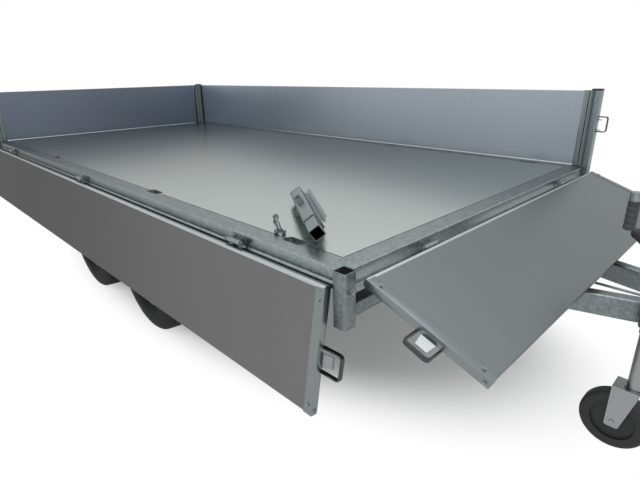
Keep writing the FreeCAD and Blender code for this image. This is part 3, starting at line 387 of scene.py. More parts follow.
# CAD nodes that show otherwise than their slot. The three panels take copies of their sheet with painted
# light or shade.
SHOWN_OTHERWISE = {"panel_right": Finish.panel_sheet_dull, "panel_left": Finish.panel_sheet_cool,
                   "panel_rear": Finish.panel_sheet_dark, "deck_rim": Finish.rim_strip}


@cache
def material_of(finish: Finish) -> bpy.types.Material:
    """Builds a finish on its first use and keeps it.

    Args:
        finish: the finish.

    Returns:
        Its material.
    """
    return finish.value.build()


def coat(piece: bpy.types.Object, finish: Finish) -> None:
    """Lays one finish over a whole piece.

    Args:
        piece: the mesh object.
        finish: what it is made of.
    """
    piece.data.materials.clear()
    piece.data.materials.append(material_of(finish))


def new_piece(name: str, body: str, mesh: Shape, finish: Finish) -> bpy.types.Object:
    """Turns a finished bmesh to an object that rides on a body.

    Args:
        name: its name.
        body: the CAD body that carries it.
        mesh: its shape in the frame's metres; it is freed here.
        finish: what it is made of.

    Returns:
        The object.
    """
    bmesh.ops.remove_doubles(mesh, verts=mesh.verts, dist=MERGE)
    bmesh.ops.recalc_face_normals(mesh, faces=mesh.faces)
    for face in mesh.faces:
        face.smooth = True
    for edge in mesh.edges:
        edge.smooth = not edge.is_manifold or edge.calc_face_angle(0.0) < SMOOTH_BELOW
    data = bpy.data.meshes.new(name)
    mesh.to_mesh(data)
    mesh.free()
    piece = bpy.data.objects.new(name, data)
    bpy.context.scene.collection.objects.link(piece)
    coat(piece, finish)
    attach(piece, body)
    LOG.info("%s: %d faces on %s", name, len(data.polygons), body)
    return piece


def facing(origin: Vector, outwards: Vector) -> Matrix:
    """What carries something drawn along +Z to a place and a direction.

    Args:
        origin: where its foot goes.
        outwards: where its +Z points.

    Returns:
        The matrix.
    """
    return Matrix.Translation(origin) @ outwards.to_track_quat("Z", "Y").to_matrix().to_4x4()


def add_drum(mesh: Shape, matrix: Matrix, radius: float, height: float, sides: int,
             tip: float | None = None) -> None:
    """Adds a closed drum that stands on the matrix's zero plane.

    Args:
        mesh: what it joins.
        matrix: its place.
        radius: its radius.
        height: its height.
        sides: how many sides it has.
        tip: its top's radius, where it tapers.
    """
    bmesh.ops.create_cone(mesh, cap_ends=True, segments=sides, radius1=radius,
                          radius2=radius if tip is None else tip, depth=height,
                          matrix=matrix @ Matrix.Translation((0, 0, height / 2)))


class Rounded(Enum):
    """What a bevel rounds: edges, or the corners of a flat shape."""

    EDGES = "EDGES"
    CORNERS = "VERTICES"


def soften(mesh: Shape, parts: list, offset: float, steps: int = 2, what: Rounded = Rounded.EDGES) -> None:
    """Rounds edges or corners.

    Args:
        mesh: the bmesh.
        parts: its edges, or its points.
        offset: how far they are cut back.
        steps: how many faces make the round.
        what: which of the two they are.
    """
    bmesh.ops.bevel(mesh, geom=parts, offset=offset, offset_type="OFFSET", affect=what.value,
                    segments=steps, profile=0.5, material=-1)


def add_block(mesh: Shape, place: Matrix, spot: Vector, size: Triple, round_by: float) -> None:
    """Adds a block with softened edges.

    Args:
        mesh: what it joins.
        place: what carries it to the trailer.
        spot: its middle, before that.
        size: its three widths.
        round_by: how far its edges are bevelled.
    """
    matrix = place @ Matrix.Translation(spot) @ Matrix.Diagonal((*size, 1.0))
    made = bmesh.ops.create_cube(mesh, size=1.0, matrix=matrix)
    soften(mesh, list({edge for vert in made["verts"] for edge in vert.link_edges}), round_by)


def add_dome(mesh: Shape, spot: Vector, outwards: Vector, radius: float, height: float) -> None:
    """Adds a domed head, half sunk in what it stands on.

    Args:
        mesh: what it joins.
        spot: the middle of its foot.
        outwards: where it points.
        radius: its radius.
        height: how far it stands proud.
    """
    flat = Matrix.Diagonal((radius, radius, height, 1.0))
    bmesh.ops.create_uvsphere(mesh, u_segments=20, v_segments=10, radius=1.0,
                              matrix=facing(spot, outwards) @ flat)


def add_lathed(mesh: Shape, foot: Vector, axis: Vector, points: list[Pair], steps: int) -> None:
    """Spins a line round an axis.

    Args:
        mesh: what it joins.
        foot: where the line's heights start.
        axis: which way they run.
        points: the line, as (distance from the axis, height).
        steps: how many faces go round.
    """
    matrix = facing(foot, axis)
    verts = [mesh.verts.new(matrix @ Vector((across, 0, up))) for across, up in points]
    edges = [mesh.edges.new(pair) for pair in zip(verts, verts[1:])]
    bmesh.ops.spin(mesh, geom=verts + edges, cent=foot, axis=axis.normalized(), angle=math.tau,
                   steps=steps, use_merge=True)


@dataclass(frozen=True)
class BoltHead:
    """A six-sided head on its washer, in shares of the width across its flats."""

    washer_radius: float = 0.8
    washer_height: float = 0.11
    hexagon_height: float = 0.48
    crown_foot: float = 0.5
    crown_tip: float = 0.42
    crown_height: float = 0.55
    round_sides: int = 28

    def add(self, mesh: Shape, spot: Vector, outwards: Vector, across: float) -> None:
        """Adds one head.

        Args:
            mesh: what it joins.
            spot: the middle of the washer's foot.
            outwards: where the head points.
            across: the width across the head's flats.
        """
        foot = facing(spot, outwards)
        washer = across * self.washer_height
        top = foot @ Matrix.Translation((0, 0, washer))
        add_drum(mesh, foot, across * self.washer_radius, washer, self.round_sides)
        add_drum(mesh, top, across / math.sqrt(3), across * self.hexagon_height, HEXAGON)
        add_drum(mesh, top, across * self.crown_foot, across * self.crown_height, self.round_sides,
                 across * self.crown_tip)


BOLT = BoltHead()


@dataclass(frozen=True)
class Side:
    """One side of the deck: across runs inboard, up from the deck and along the edge."""

    name: str
    start: Vector
    run: Vector
    length: float
    swung: float
    hinges: tuple[float, ...]
    loop_reaches: Pair
    hinge_across: float = -23 * MM
    hinge_up: float = -26 * MM
    end_gap: float = 33 * MM

    def ends(self) -> tuple[Pair, ...]:
        """Where the panel starts and stops along the edge, each with the way into the panel."""
        return (self.end_gap, 1.0), (self.length - self.end_gap, -1.0)

    def fixed(self) -> Matrix:
        """Carries what is drawn along the side's own directions to the deck's edge."""
        turn = Matrix((UP.cross(self.run), UP, self.run)).transposed().to_4x4()
        return Matrix.Translation(self.start) @ turn

    def moved(self) -> Matrix:
        """Carries what is drawn on the shut panel to the panel as it stands at rest.

        Returns:
            The matrix.
        """
        pin = Vector((self.hinge_across, self.hinge_up, 0))
        swing = Matrix.Rotation(math.radians(self.swung), 4, "Z")
        return self.fixed() @ Matrix.Translation(pin) @ swing @ Matrix.Translation(-pin)


@dataclass
class PanelFasteners:
    """Bolts in a panel's end strips, rivets in its hinge leaves and latches, nuts on its pins."""

    side: Side
    strip_middle: float = 18 * MM
    strip_face: float = -5 * MM
    strip_heights: Pair = (38 * MM, 373 * MM)
    strip_flats: float = 9 * MM
    face_across: float = -20 * MM
    face_height: float = 391 * MM
    leaf_face: float = -32.5 * MM
    leaf_height: float = 40 * MM
    leaf_out: float = 28 * MM
    leaf_rivet: Pair = (6 * MM, 3.5 * MM)
    latch_face: float = -34 * MM
    latch_height: float = 227.5 * MM
    latch_rivet_out: float = 20 * MM
    latch_rivet_in: float = 10 * MM
    latch_rivet: Pair = (3.5 * MM, 1.75 * MM)
    pin_end: float = 38 * MM
    pin_nut: float = 14 * MM

    def build(self) -> None:
        """Sets those that swing with the panel, then the nuts that stay on the deck."""
        place = self.side.moved()
        turn = place.to_3x3()
        outwards = turn @ Vector((-1, 0, 0))
        mesh = bmesh.new()
        for end, inward in self.side.ends():
            for height in self.strip_heights:
                spot = Vector((self.strip_face, height, end + inward * self.strip_middle))
                BOLT.add(mesh, place @ spot, -outwards, self.strip_flats)
            spot = Vector((self.face_across, self.face_height, end))
            BOLT.add(mesh, place @ spot, turn @ Vector((0, 0, -inward)), self.strip_flats)
            for hand in HANDS:
                spot = Vector((self.latch_face, self.latch_height + hand * self.latch_rivet_out,
                               end + inward * self.latch_rivet_in))
                add_dome(mesh, place @ spot, outwards, *self.latch_rivet)
        for hinge in self.side.hinges:
            for hand in HANDS:
                spot = Vector((self.leaf_face, self.leaf_height, hinge + hand * self.leaf_out))
                add_dome(mesh, place @ spot, outwards, *self.leaf_rivet)
        new_piece(f"fasteners_{self.side.name}", f"panel_{self.side.name}", mesh, Finish.zinc_plated)
        place = self.side.fixed()
        mesh = bmesh.new()
        for hinge in self.side.hinges:
            for hand in HANDS:
                spot = Vector((self.side.hinge_across, self.side.hinge_up, hinge + hand * self.pin_end))
                BOLT.add(mesh, place @ spot, place.to_3x3() @ Vector((0, 0, hand)), self.pin_nut)
        new_piece(f"hinge_nuts_{self.side.name}", "chassis", mesh, Finish.zinc_plated)


@dataclass
class PanelEdges:
    """The strips over a panel's ends and the folded rail along its foot."""

    side: Side
    strip_width: float = 36 * MM
    middle: float = -17.5 * MM
    thickness: float = 25 * MM
    foot: float = -7.5 * MM
    top: float = 404.5 * MM
    proud: float = 0.4 * MM
    strip_round: float = 1.6 * MM
    rail_height: float = 14 * MM
    rail_inset: float = 0.3 * MM
    rail_round: float = 6.5 * MM

    def build(self) -> None:
        """Lays them over the CAD panel."""
        place, side = self.side.moved(), self.side
        strips, rail = bmesh.new(), bmesh.new()
        height = self.top - self.foot - self.rail_round
        wide = self.thickness + 2 * self.proud
        for end, inward in side.ends():
            spot = Vector((self.middle, self.top - height / 2 + self.proud / 2,
                           end + inward * (self.strip_width - self.proud) / 2))
            add_block(strips, place, spot, (wide, height + self.proud, self.strip_width + self.proud),
                      self.strip_round)
        length = side.length - 2 * side.end_gap - 2 * self.rail_inset
        spot = Vector((self.middle, self.foot + self.rail_height / 2 - self.proud, side.length / 2))
        size = (self.thickness + self.proud, self.rail_height, length)
        add_block(rail, place, spot, size, self.rail_round)
        new_piece(f"end_strips_{side.name}", f"panel_{side.name}", strips, Finish.end_strip)
        # The foot rail's bright finish is a painted highlight.
        new_piece(f"foot_rail_{side.name}", f"panel_{side.name}", rail, Finish.sheet_edge)


@dataclass
class LatchLoops:
    """The drop handles of a panel's two latches, dark with painted shade."""

    side: Side
    root: float = 45 * MM
    height: float = 84 * MM
    middle: float = 227.5 * MM
    face: float = -30 * MM
    width: float = 14 * MM
    bar: float = 5 * MM
    corner: float = 14 * MM
    corner_steps: int = 6
    proud: float = 0.4 * MM
    edge_round: float = 1.2 * MM
    sharp_from: float = math.radians(60)

    def build(self) -> None:
        """Bends both handles."""
        mesh = bmesh.new()
        for (end, inward), reach in zip(self.side.ends(), self.side.loop_reaches):
            self.loop(mesh, end, -inward, reach)
        new_piece(f"latch_loops_{self.side.name}", f"panel_{self.side.name}", mesh, Finish.latch_steel)

    def loop(self, mesh: Shape, end: float, outward: float, reach: float) -> None:
        """Bends one handle out of a rounded plate.

        Args:
            mesh: what it joins.
            end: where the panel ends along its side.
            outward: the way past that end.
            reach: how far it runs past the end.
        """
        length = reach + self.root + 2 * self.proud
        centre = end + outward * (reach - self.root) / 2
        upright = Matrix.Rotation(math.radians(-90), 4, "Y")
        spot = Matrix.Translation((self.face + self.proud, self.middle, centre))
        part = bmesh.new()
        bmesh.ops.create_grid(part, x_segments=1, y_segments=1, size=0.5,
                              matrix=Matrix.Diagonal((length, self.height + 2 * self.proud, 1.0, 1.0)))
        soften(part, part.verts[:], self.corner, self.corner_steps, Rounded.CORNERS)
        rim = bmesh.ops.inset_region(part, faces=part.faces[:], thickness=self.bar + 2 * self.proud,
                                     use_boundary=True, use_even_offset=True)
        inside = [face for face in part.faces if face not in rim["faces"]]
        bmesh.ops.delete(part, geom=inside, context="FACES")
        raised = bmesh.ops.extrude_face_region(part, geom=part.faces[:])
        verts = [item for item in raised["geom"] if isinstance(item, bmesh.types.BMVert)]
        bmesh.ops.translate(part, verts=verts, vec=(0, 0, self.width + 2 * self.proud))
        sharp = [edge for edge in part.edges
                 if edge.is_manifold and edge.calc_face_angle(0.0) > self.sharp_from]
        soften(part, sharp, self.edge_round)
        bmesh.ops.transform(part, matrix=self.side.moved() @ spot @ upright, verts=part.verts)
        data = bpy.data.meshes.new("latch_loop")
        part.to_mesh(data)
        part.free()
        mesh.from_mesh(data)
        bpy.data.meshes.remove(data)


@dataclass
class FloorSeam:
    """The dark line of mastic where the floor meets the rim, broken at the lashing pans."""

    side: Side
    inboard: float = 75.5 * MM
    width: float = 2.4 * MM
    height: float = 0.5 * MM
    edge_round: float = 0.2 * MM
    pans: tuple[float, ...] = (285 * MM, 1290 * MM, 2750 * MM, 3755 * MM)
    pan_half: float = 52 * MM

    def build(self) -> None:
        """Lays the line in lengths, in one piece on the short sides, which have no pans."""
        stops = [self.inboard]
        for pan in self.pans if self.side.length > self.pans[-1] else ():
            stops += [pan - self.pan_half, pan + self.pan_half]
        stops.append(self.side.length - self.inboard)
        mesh = bmesh.new()
        for start, stop in zip(stops[::2], stops[1::2]):
            spot = Vector((self.inboard, 0.0, (start + stop) / 2))
            add_block(mesh, self.side.fixed(), spot, (self.width, 2 * self.height, stop - start),
                      self.edge_round)
        new_piece(f"floor_seam_{self.side.name}", "chassis", mesh, Finish.black_rubber)


@dataclass
class CornerFasteners:
    """What holds each post and socket, and the short welds on the rim beside them."""

    sides: tuple[Side, ...]
    post_face: float = 25 * MM
    post_beside: float = -6 * MM
    post_heights: Pair = (26 * MM, 360 * MM)
    flange_face: float = 14.3 * MM
    flange_middle: float = 39 * MM
    socket_drop: float = 55 * MM
    bolt_across: float = 11 * MM
    socket_bolt_across: float = 15 * MM
    weld_in: float = 54 * MM
    weld_along: Pair = (64 * MM, 120 * MM)
    weld_size: Triple = (6 * MM, 2.2 * MM, 0.8 * MM)

    def build(self) -> None:
        """Sets the bolts and welds at the four corners. The front right post is out of its socket."""
        bolts, welds = bmesh.new(), bmesh.new()
        for side, before in zip(self.sides, self.sides[-1:] + self.sides[:-1]):
            corner = side.start
            for first, second in ((side.run, -before.run), (-before.run, side.run)):
                self.short_welds(welds, corner, first, second)
                if first.x:
                    BOLT.add(bolts, corner - first * self.post_face - UP * self.socket_drop, -first,
                             self.socket_bolt_across)
                if side.name != "front":
                    self.post_bolts(bolts, corner, first, second)
        new_piece("corner_bolts", "chassis", bolts, Finish.zinc_plated)
        new_piece("corner_welds", "chassis", welds, Finish.galvanised_dip)

    def short_welds(self, mesh: Shape, corner: Vector, along: Vector, inboard: Vector) -> None:
        """Lays two short beads beside one edge.

        Args:
            mesh: what they join.
            corner: the deck's corner.
            along: away from the corner along the edge.
            inboard: into the deck from the edge.
        """
        turn = Matrix((along, inboard, UP)).transposed().to_4x4() @ Matrix.Diagonal((*self.weld_size, 1.0))
        for distance in self.weld_along:
            spot = Matrix.Translation(corner + along * distance + inboard * self.weld_in)
            bmesh.ops.create_uvsphere(mesh, u_segments=12, v_segments=8, radius=1.0, matrix=spot @ turn)

    def post_bolts(self, mesh: Shape, corner: Vector, first: Vector, second: Vector) -> None:
        """Sets the bolts in one inboard face of a standing post.

        Args:
            mesh: what they join.
            corner: the deck's corner.
            first: away from the corner along one edge.
            second: away from it along the other.
        """
        for height in self.post_heights:
            foot = corner + UP * height
            BOLT.add(mesh, foot + first * self.post_face + second * self.post_beside, first,
                     self.bolt_across)
            add_dome(mesh, foot + first * self.flange_middle + second * self.flange_face, second,
                     self.bolt_across / 2, self.bolt_across / 4)


@dataclass
class LooseBolt:
    """The bolt and its two nuts that lie on the deck beside the drawn post."""

    head: Pair = (-1.874, -0.814)
    end: Pair = (-1.752, -0.894)
    nuts: tuple[Triple, ...] = ((-1.741, -0.920, 20.0), (-1.722, -0.903, 75.0))
    head_radius: float = 11 * MM
    head_height: float = 12 * MM
    chamfer: float = 1.5 * MM
    chamfer_share: float = 0.8
    shank_radius: float = 6 * MM
    shank_share: float = 0.97
    plain_share: float = 0.55
    pitch: float = 2.5 * MM
    root_share: float = 0.85
    head_sides: int = 32
    round_sides: int = 24
    thread_sides: int = 20
    nut_across: float = 19 * MM
    nut_height: float = 9 * MM

    def build(self, deck: float) -> None:
        """Lays them down.

        Args:
            deck: the deck's height.
        """
        mesh = bmesh.new()
        start = Vector((*self.head, deck + self.head_radius))
        stop = Vector((*self.end, deck + self.shank_radius))
        axis, length = (stop - start).normalized(), (stop - start).length
        matrix = facing(start, axis)
        add_drum(mesh, matrix, self.head_radius, self.head_height, self.head_sides)
        add_drum(mesh, facing(start, -axis), self.head_radius, self.chamfer, self.head_sides,
                 self.head_radius * self.chamfer_share)
        plain = length * self.plain_share
        add_drum(mesh, matrix, self.shank_radius * self.shank_share, plain, self.round_sides)
        crest, root, half = self.shank_radius, self.shank_radius * self.root_share, self.pitch / 2
        for turn in range(int((length - plain) / self.pitch)):
            place = matrix @ Matrix.Translation((0, 0, plain + turn * self.pitch))
            add_drum(mesh, place, root, half, self.thread_sides, crest)
            add_drum(mesh, place @ Matrix.Translation((0, 0, half)), crest, half, self.thread_sides, root)
        for across, beside, turn in self.nuts:
            self.nut(mesh, Vector((across, beside, deck)), math.radians(turn))
        new_piece("loose_bolt", "chassis", mesh, Finish.zinc_plated)

    def nut(self, mesh: Shape, spot: Vector, turn: float) -> None:
        """Stands one nut on a flat, with its hole across.

        Args:
            mesh: what it joins.
            spot: where it touches the deck.
            turn: which way its hole faces.
        """
        axis = Vector((math.cos(turn), math.sin(turn), 0))
        matrix = facing(spot + UP * self.nut_across / 2 - axis * self.nut_height / 2, axis)
        edges = []
        for sides, radius in ((HEXAGON, self.nut_across / math.sqrt(3)),
                              (self.round_sides, self.shank_radius)):
            made = bmesh.ops.create_circle(mesh, segments=sides, radius=radius, matrix=matrix)
            edges += {edge for vert in made["verts"] for edge in vert.link_edges}
        ring = bmesh.ops.bridge_loops(mesh, edges=edges)
        raised = bmesh.ops.extrude_face_region(mesh, geom=ring["faces"])
        verts = [item for item in raised["geom"] if isinstance(item, bmesh.types.BMVert)]
        bmesh.ops.translate(mesh, verts=verts, vec=axis * self.nut_height)


@dataclass
class Grip:
    """A moulded sleeve with finger rings over a handle's end."""

    name: str
    foot: Triple
    tip: Triple
    radius: float
    rings: int = 4
    swell: float = 1.2 * MM
    groove: float = 1.0 * MM
    groove_floor: float = 1.5 * MM
    groove_mouth: float = 3.5 * MM
    end_share: float = 0.8
    end_over: float = 1 * MM
    end_round: float = 2 * MM
    steps: int = 36

    def build(self) -> None:
        """Spins the sleeve round its axis."""
        foot = Vector(self.foot)
        axis = Vector(self.tip) - foot
        length = axis.length
        outer, inner, mouth = self.radius + self.swell, self.radius * self.end_share, self.groove_mouth
        points = [(0.0, -self.end_over), (inner, -self.end_over), (outer, self.end_round)]
        for ring in range(self.rings):
            middle = length * (ring + 1) / (self.rings + 1)
            sunk = outer - self.groove
            points += [(outer, middle - mouth), (sunk, middle - self.groove_floor),
                       (sunk, middle + self.groove_floor), (outer, middle + mouth)]
        points += [(outer, length - self.end_round), (inner, length + self.end_over),
                   (0.0, length + self.end_over)]
        mesh = bmesh.new()
        add_lathed(mesh, foot, axis, points, self.steps)
        new_piece(self.name, "chassis", mesh, Finish.grip_plastic)


@dataclass
class RearLampTrim:
    """The ribbed lens and the black surround of each rear lamp."""

    node: str = "rear_lamps"
    width: float = 220 * MM
    height: float = 90 * MM
    frame_proud: float = 3 * MM
    frame_depth: float = 12 * MM
    frame_round: float = 2 * MM
    lens_proud: float = 5 * MM
    lens_border: float = 7 * MM
    lens_round: float = 3 * MM
    rib_count: int = 15
    rib_share: float = 0.45
    rib_depth: float = 2 * MM
    rib_round: float = 0.8 * MM
    rib_short: float = 10 * MM

    def build(self) -> None:
        """Dresses both lamps."""
        low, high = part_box(self.node)
        level = (low.z + high.z) / 2
        wide, tall = self.width - 2 * self.lens_border, self.height - 2 * self.lens_border
        frame_size = (self.frame_depth, self.width + 2 * self.frame_proud,
                      self.height + 2 * self.frame_proud)
        pitch = wide / (self.rib_count + 1)
        rib_size = (self.rib_depth, pitch * self.rib_share, tall - self.rib_short)
        frames, lenses, place = bmesh.new(), bmesh.new(), Matrix()
        for middle in (low.y + self.width / 2, high.y - self.width / 2):
            add_block(frames, place, Vector((high.x - self.frame_depth / 2, middle, level)), frame_size,
                      self.frame_round)
            add_block(lenses, place, Vector((low.x, middle, level)), (2 * self.lens_proud, wide, tall),
                      self.lens_round)
            for rib in range(self.rib_count):
                spot = Vector((low.x - self.lens_proud, middle - wide / 2 + pitch * (rib + 1), level))
                add_block(lenses, place, spot, rib_size, self.rib_round)
        new_piece("lamp_surrounds", "chassis", frames, Finish.black_plastic)
        new_piece("lamp_lenses", "chassis", lenses, Finish.lamp_red)


@dataclass
class Tyre:
    """A light-truck tyre with a ribbed tread, spun over the CAD tyre that it replaces."""

    node: str
    body: str
    inset: Pair = (0.6 * MM, 0.4 * MM)
    sidewall: float = 146 * MM
    wall: float = 6 * MM
    groove_width: float = 7 * MM
    groove_depth: float = 7 * MM
    slack: float = 1 * MM
    crown_drop: float = 0.06
    steps: int = 96
    # Shares of the half width and of the sidewall's height, from the bead to the tread.
    section: tuple[Pair, ...] = (
        (0.76, 0.0), (0.80, 0.06), (0.93, 0.2), (0.97, 0.26), (1.0, 0.42), (0.985, 0.6), (0.93, 0.78),
        (0.9, 0.84), (0.86, 0.925), (0.79, 0.965))

    def profile(self, radius: float, half: float) -> list[Pair]:
        """Half of the section, from the bead to the middle of the tread, which is a groove.

        Args:
            radius: the tyre's radius.
            half: half its width.

        Returns:
            Points as (distance from the axle, distance from the middle).
        """
        bead = radius - self.sidewall
        points = [(bead + self.sidewall * up, half * across) for across, up in self.section]
        edge, mouth = half * self.section[0][0], self.groove_width / 2
        for across in (edge, edge / 2 + mouth, edge / 2 - mouth, mouth, 0.0):
            points.append((radius - self.crown_drop * across * across / edge, across))
        return points

    def build(self) -> None:
        """Spins the tyre, cuts its grooves and hides the CAD tyre."""
        low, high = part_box(self.node)
        centre = (low + high) / 2
        radius = (high.z - low.z) / 2 - self.inset[0]
        half = (high.y - low.y) / 2 - self.inset[1]
        section = self.profile(radius, half)
        section += [(out, -across) for out, across in reversed(section) if across > 0.0]
        mesh = bmesh.new()
        add_lathed(mesh, centre, Vector((0, 1, 0)), section, self.steps)
        bmesh.ops.remove_doubles(mesh, verts=mesh.verts, dist=MERGE)
        bmesh.ops.recalc_face_normals(mesh, faces=mesh.faces)
        self.cut_grooves(mesh, centre, radius, half * self.section[0][0])
        bmesh.ops.solidify(mesh, geom=mesh.faces, thickness=self.wall)
        piece = new_piece("tread_" + self.node, self.body, mesh, Finish.tyre_rubber)
        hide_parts(self.node)

    def cut_grooves(self, mesh: Shape, centre: Vector, radius: float, tread: float) -> None:
        """Sinks the narrow bands of the tread to the grooves' depth.

        Args:
            mesh: the spun tyre.
            centre: its hub.
            radius: its radius.
            tread: half the tread's width.
        """
        bands = []
        for face in mesh.faces:
            ys = [vert.co.y - centre.y for vert in face.verts]
            lowest = min(math.hypot(vert.co.x - centre.x, vert.co.z - centre.z) for vert in face.verts)
            narrow = max(ys) - min(ys) < self.groove_width + self.slack
            inner = max(map(abs, ys)) < tread - self.slack
            if narrow and inner and lowest > radius - self.groove_depth:
                bands.append(face)
        sunk = bmesh.ops.extrude_face_region(mesh, geom=bands)
        bmesh.ops.delete(mesh, geom=bands, context="FACES")
        for vert in (item for item in sunk["geom"] if isinstance(item, bmesh.types.BMVert)):
            out = Vector((vert.co.x - centre.x, 0.0, vert.co.z - centre.z)).normalized()
            vert.co -= out * self.groove_depth


@dataclass
class WheelNuts:
    """Five nuts on one wheel's outer face, each with its washer and the stud's end."""

    node: str
    hand: float
    count: int = 5
    face: float = 32 * MM
    circle: float = 56 * MM
    across: float = 19 * MM
    height: float = 16 * MM
    washer_share: float = 0.6
    washer_height: float = 2 * MM
    stud_share: float = 0.28
    stud_proud: float = 6 * MM
    washer_sides: int = 24
    stud_sides: int = 16

    def build(self) -> None:
        """Sets the nuts on the disc."""
        low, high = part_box(self.node)
        outwards = Vector((0, self.hand, 0))
        middle = (low + high) / 2 + outwards * self.face
        mesh = bmesh.new()
        for step in range(self.count):
            turn = math.tau * step / self.count
            matrix = facing(middle + Vector((math.cos(turn), 0, math.sin(turn))) * self.circle, outwards)
            add_drum(mesh, matrix, self.across * self.washer_share, self.washer_height,
                     self.washer_sides)
            add_drum(mesh, matrix, self.across / math.sqrt(3), self.height, HEXAGON)
            add_drum(mesh, matrix, self.across * self.stud_share, self.height + self.stud_proud,
                     self.stud_sides)
        new_piece("nuts_" + self.node, self.node, mesh, Finish.zinc_plated)


@dataclass(frozen=True)
class SoftBox:
    """One rectangular lamp, hung at a distance from the trailer's middle."""

    name: str
    away: Triple
    size: Pair
    power: float

    def hang(self, middle: Vector) -> None:
        """Hangs it facing the trailer.

        Args:
            middle: what it faces.
        """
        data = bpy.data.lights.new(self.name, "AREA")
        data.shape = "RECTANGLE"
        data.size, data.size_y = self.size
        data.energy = self.power
        lamp = bpy.data.objects.new(self.name, data)
        lamp.location = middle + Vector(self.away)
        lamp.rotation_euler = (middle - lamp.location).to_track_quat("-Z", "Y").to_euler()
        bpy.context.scene.collection.objects.link(lamp)


@dataclass
class Studio:
    """Floor, backdrop, lamps and the camera at the photograph's angle."""

    camera_place: Triple = (-0.558, -1.869, 0.833)
    camera_degrees: Triple = (69.932, 0.953, 45.236)
    camera_reach: Pair = (0.02, 200.0)
    lens: float = 25.98
    sensor: float = 36.0
    floor_half: float = 60.0
    floor_middle: float = -3.0
    floor_colour: str = "#f2f3f3"
    floor_roughness: float = 0.9
    floor_shown: float = 0.12
    fade_middle: Triple = (1.4, 0.0, 0.0)
    fade_shape: Triple = (0.45, 1.0, 0.0)
    fade_from: float = 0.75
    fade_to: float = 1.1
    fill: float = 0.75
    shown: float = 1.0
    boxes: tuple[SoftBox, ...] = (SoftBox("key", (2.0, -3.5, 5.5), (6.0, 4.0), 200.0),
                                  SoftBox("top", (1.0, 0.5, 6.5), (7.0, 5.0), 70.0))

    def camera(self) -> None:
        """Places the camera as the photograph was taken."""
        data = bpy.data.cameras.new("camera")
        data.lens, data.sensor_width = self.lens, self.sensor
        data.clip_start, data.clip_end = self.camera_reach
        camera = bpy.data.objects.new("camera", data)
        camera.location = self.camera_place
        camera.rotation_euler = Euler([math.radians(turn) for turn in self.camera_degrees], "XYZ")
        bpy.context.scene.collection.objects.link(camera)
        bpy.context.scene.camera = camera

    def floor(self, ground: float) -> None:
        """Lays the pale floor.

        Args:
            ground: the height that the tyres stand on.
        """
        mesh = bmesh.new()
        bmesh.ops.create_grid(mesh, x_segments=1, y_segments=1, size=self.floor_half,
                              matrix=Matrix.Translation((self.floor_middle, 0.0, ground)))
        data = bpy.data.meshes.new("studio_floor")
        mesh.to_mesh(data)
        mesh.free()
        floor = bpy.data.objects.new("studio_floor", data)
        bpy.context.scene.collection.objects.link(floor)
        material, shader = new_material("studio floor, matt paint")
        feed(shader, {"Base Color": linear(self.floor_colour), "Roughness": self.floor_roughness})
        self.whiten(material.node_tree, shader)
        data.materials.append(material)
        floor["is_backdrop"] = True

    def seen(self, tree: Tree) -> Node:
        """One for a ray that the camera or a reflection sends, and zero for one that only lights.

        Args:
            tree: the tree that gets the nodes.

        Returns:
            The node that gives it.
        """
        path = add_node(tree, "ShaderNodeLightPath").outputs
        rays = path["Is Camera Ray"]
        for other in ("Is Glossy Ray", "Is Transmission Ray"):
            rays = add_node(tree, "ShaderNodeMath", {0: rays, 1: path[other]}, operation="MAXIMUM")
        return rays

    def whiten(self, tree: Tree, shader: Node) -> None:
        """Keeps the trailer's shadow on the floor, and shows the floor white beyond it.

        Args:
            tree: the floor's tree.
            shader: its matt paint.
        """
        place = add_node(tree, "ShaderNodeTexCoord").outputs["Object"]
        centred = add_node(tree, "ShaderNodeMapping", {
            "Vector": place, "Location": self.fade_middle, "Scale": self.fade_shape})
        distance = add_node(tree, "ShaderNodeVectorMath", {0: centred}, operation="LENGTH")
        fade = add_node(tree, "ShaderNodeMapRange", {
            "Value": distance.outputs["Value"], "From Min": self.fade_from, "From Max": self.fade_to,
            "To Min": self.floor_shown, "To Max": 1.0}, interpolation_type="SMOOTHSTEP")
        share = add_node(tree, "ShaderNodeMath", {0: fade, 1: self.seen(tree)}, operation="MULTIPLY")
        white = add_node(tree, "ShaderNodeEmission", {"Color": linear(WHITE), "Strength": self.shown})
        mixed = add_node(tree, "ShaderNodeMixShader", {0: share, 1: shader, 2: white})
        feed(tree.nodes["Material Output"], {"Surface": mixed})

    def world(self) -> None:
        """Lights from all round, and shows white to the camera and in reflections."""
        world = bpy.data.worlds.new("studio")
        bpy.context.scene.world = world
        world.use_nodes = True
        tree = world.node_tree
        tree.nodes.clear()
        fill = add_node(tree, "ShaderNodeBackground", {"Color": linear(WHITE), "Strength": self.fill})
        shown = add_node(tree, "ShaderNodeBackground", {"Color": linear(WHITE), "Strength": self.shown})
        mixed = add_node(tree, "ShaderNodeMixShader", {0: self.seen(tree), 1: fill, 2: shown})
        add_node(tree, "ShaderNodeOutputWorld", {"Surface": mixed})

    def build(self, low: Vector, high: Vector) -> None:
        """Sets the whole studio round the trailer.

        Args:
            low: the CAD box's lowest corner.
            high: its highest.
        """
        self.camera()
        self.floor(low.z)
        self.world()
        for box in self.boxes:
            box.hang((low + high) / 2)
        bpy.context.scene.view_settings.view_transform = "Standard"


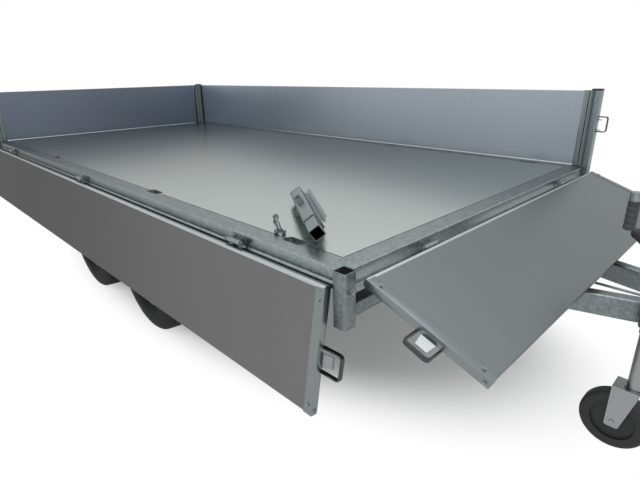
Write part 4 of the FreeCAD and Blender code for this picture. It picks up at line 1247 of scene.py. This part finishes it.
@dataclass
class DeckSides:
    """The deck's four sides, measured between its corner sockets."""

    long_hinge_in: float = 0.5
    short_hinge_in: float = 0.4
    hanging: float = 170.5
    on_rests: float = 110.3
    long_reach: float = 70 * MM
    rear_left_reach: float = 98 * MM
    short_reach: float = 58 * MM

    def find(self) -> tuple[Side, ...]:
        """Measures the deck.

        Returns:
            Its right, front, left and rear side, in the order round the deck.
        """
        low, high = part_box("socket_front_right")
        front_right = (low + high) / 2
        low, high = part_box("corner_sockets")
        rear = low.x + high.x - front_right.x
        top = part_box("deck_floor")[1].z
        half, front = -front_right.y, front_right.x
        length, width = front - rear, 2 * half
        long_hinges = (self.long_hinge_in, length / 2, length - self.long_hinge_in)
        short_hinges = (self.short_hinge_in, width - self.short_hinge_in)
        short_reaches = (self.short_reach, self.short_reach)
        return (Side("right", Vector((rear, -half, top)), Vector((1, 0, 0)), length, self.hanging,
                     long_hinges, (self.long_reach, self.long_reach)),
                Side("front", Vector((front, -half, top)), Vector((0, 1, 0)), width, self.on_rests,
                     short_hinges, short_reaches),
                Side("left", Vector((front, half, top)), Vector((-1, 0, 0)), length, 0.0,
                     long_hinges, (self.rear_left_reach, self.long_reach)),
                Side("rear", Vector((rear, half, top)), Vector((0, -1, 0)), width, 0.0,
                     short_hinges, short_reaches))


WHEELS = {"fl": 1.0, "fr": -1.0, "rl": 1.0, "rr": -1.0}
GRIPS = (Grip("crank_grip", (-0.869, -0.150, 0.331), (-0.869, -0.150, 0.429), 17 * MM),
         Grip("brake_grip", (-0.762, -0.040, 0.2216), (-0.845, -0.040, 0.278), 19 * MM))


def dress_nodes(frame: dict) -> None:
    """Gives every CAD node its finish.
    """
    for entry in frame["record"]["subparts"]:
        node = frame["nodes"][entry["node"]]
        coat(node, SHOWN_OTHERWISE.get(entry["node"], Finish[entry["material_slot"]]))
        LOG.info("%s: %s", node.name, entry["material_slot"])


def main() -> None:
    """Builds the studio and the pieces, in order."""
    logging.basicConfig(level=logging.INFO, format="%(message)s")
    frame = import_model()
    cad_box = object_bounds()
    Studio().build(*[Vector(corner) for corner in cad_box])
    dress_nodes(frame)
    for name, hand in WHEELS.items():
        Tyre("tyre_" + name, "wheel_" + name).build()
        WheelNuts("wheel_" + name, hand).build()
    sides = DeckSides().find()
    for side in sides:
        for kind in (PanelEdges, PanelFasteners, LatchLoops, FloorSeam):
            kind(side).build()
    CornerFasteners(sides).build()
    LooseBolt().build(sides[0].start.z)
    for grip in GRIPS:
        grip.build()
    RearLampTrim().build()


if __name__ == "__main__":
    main()
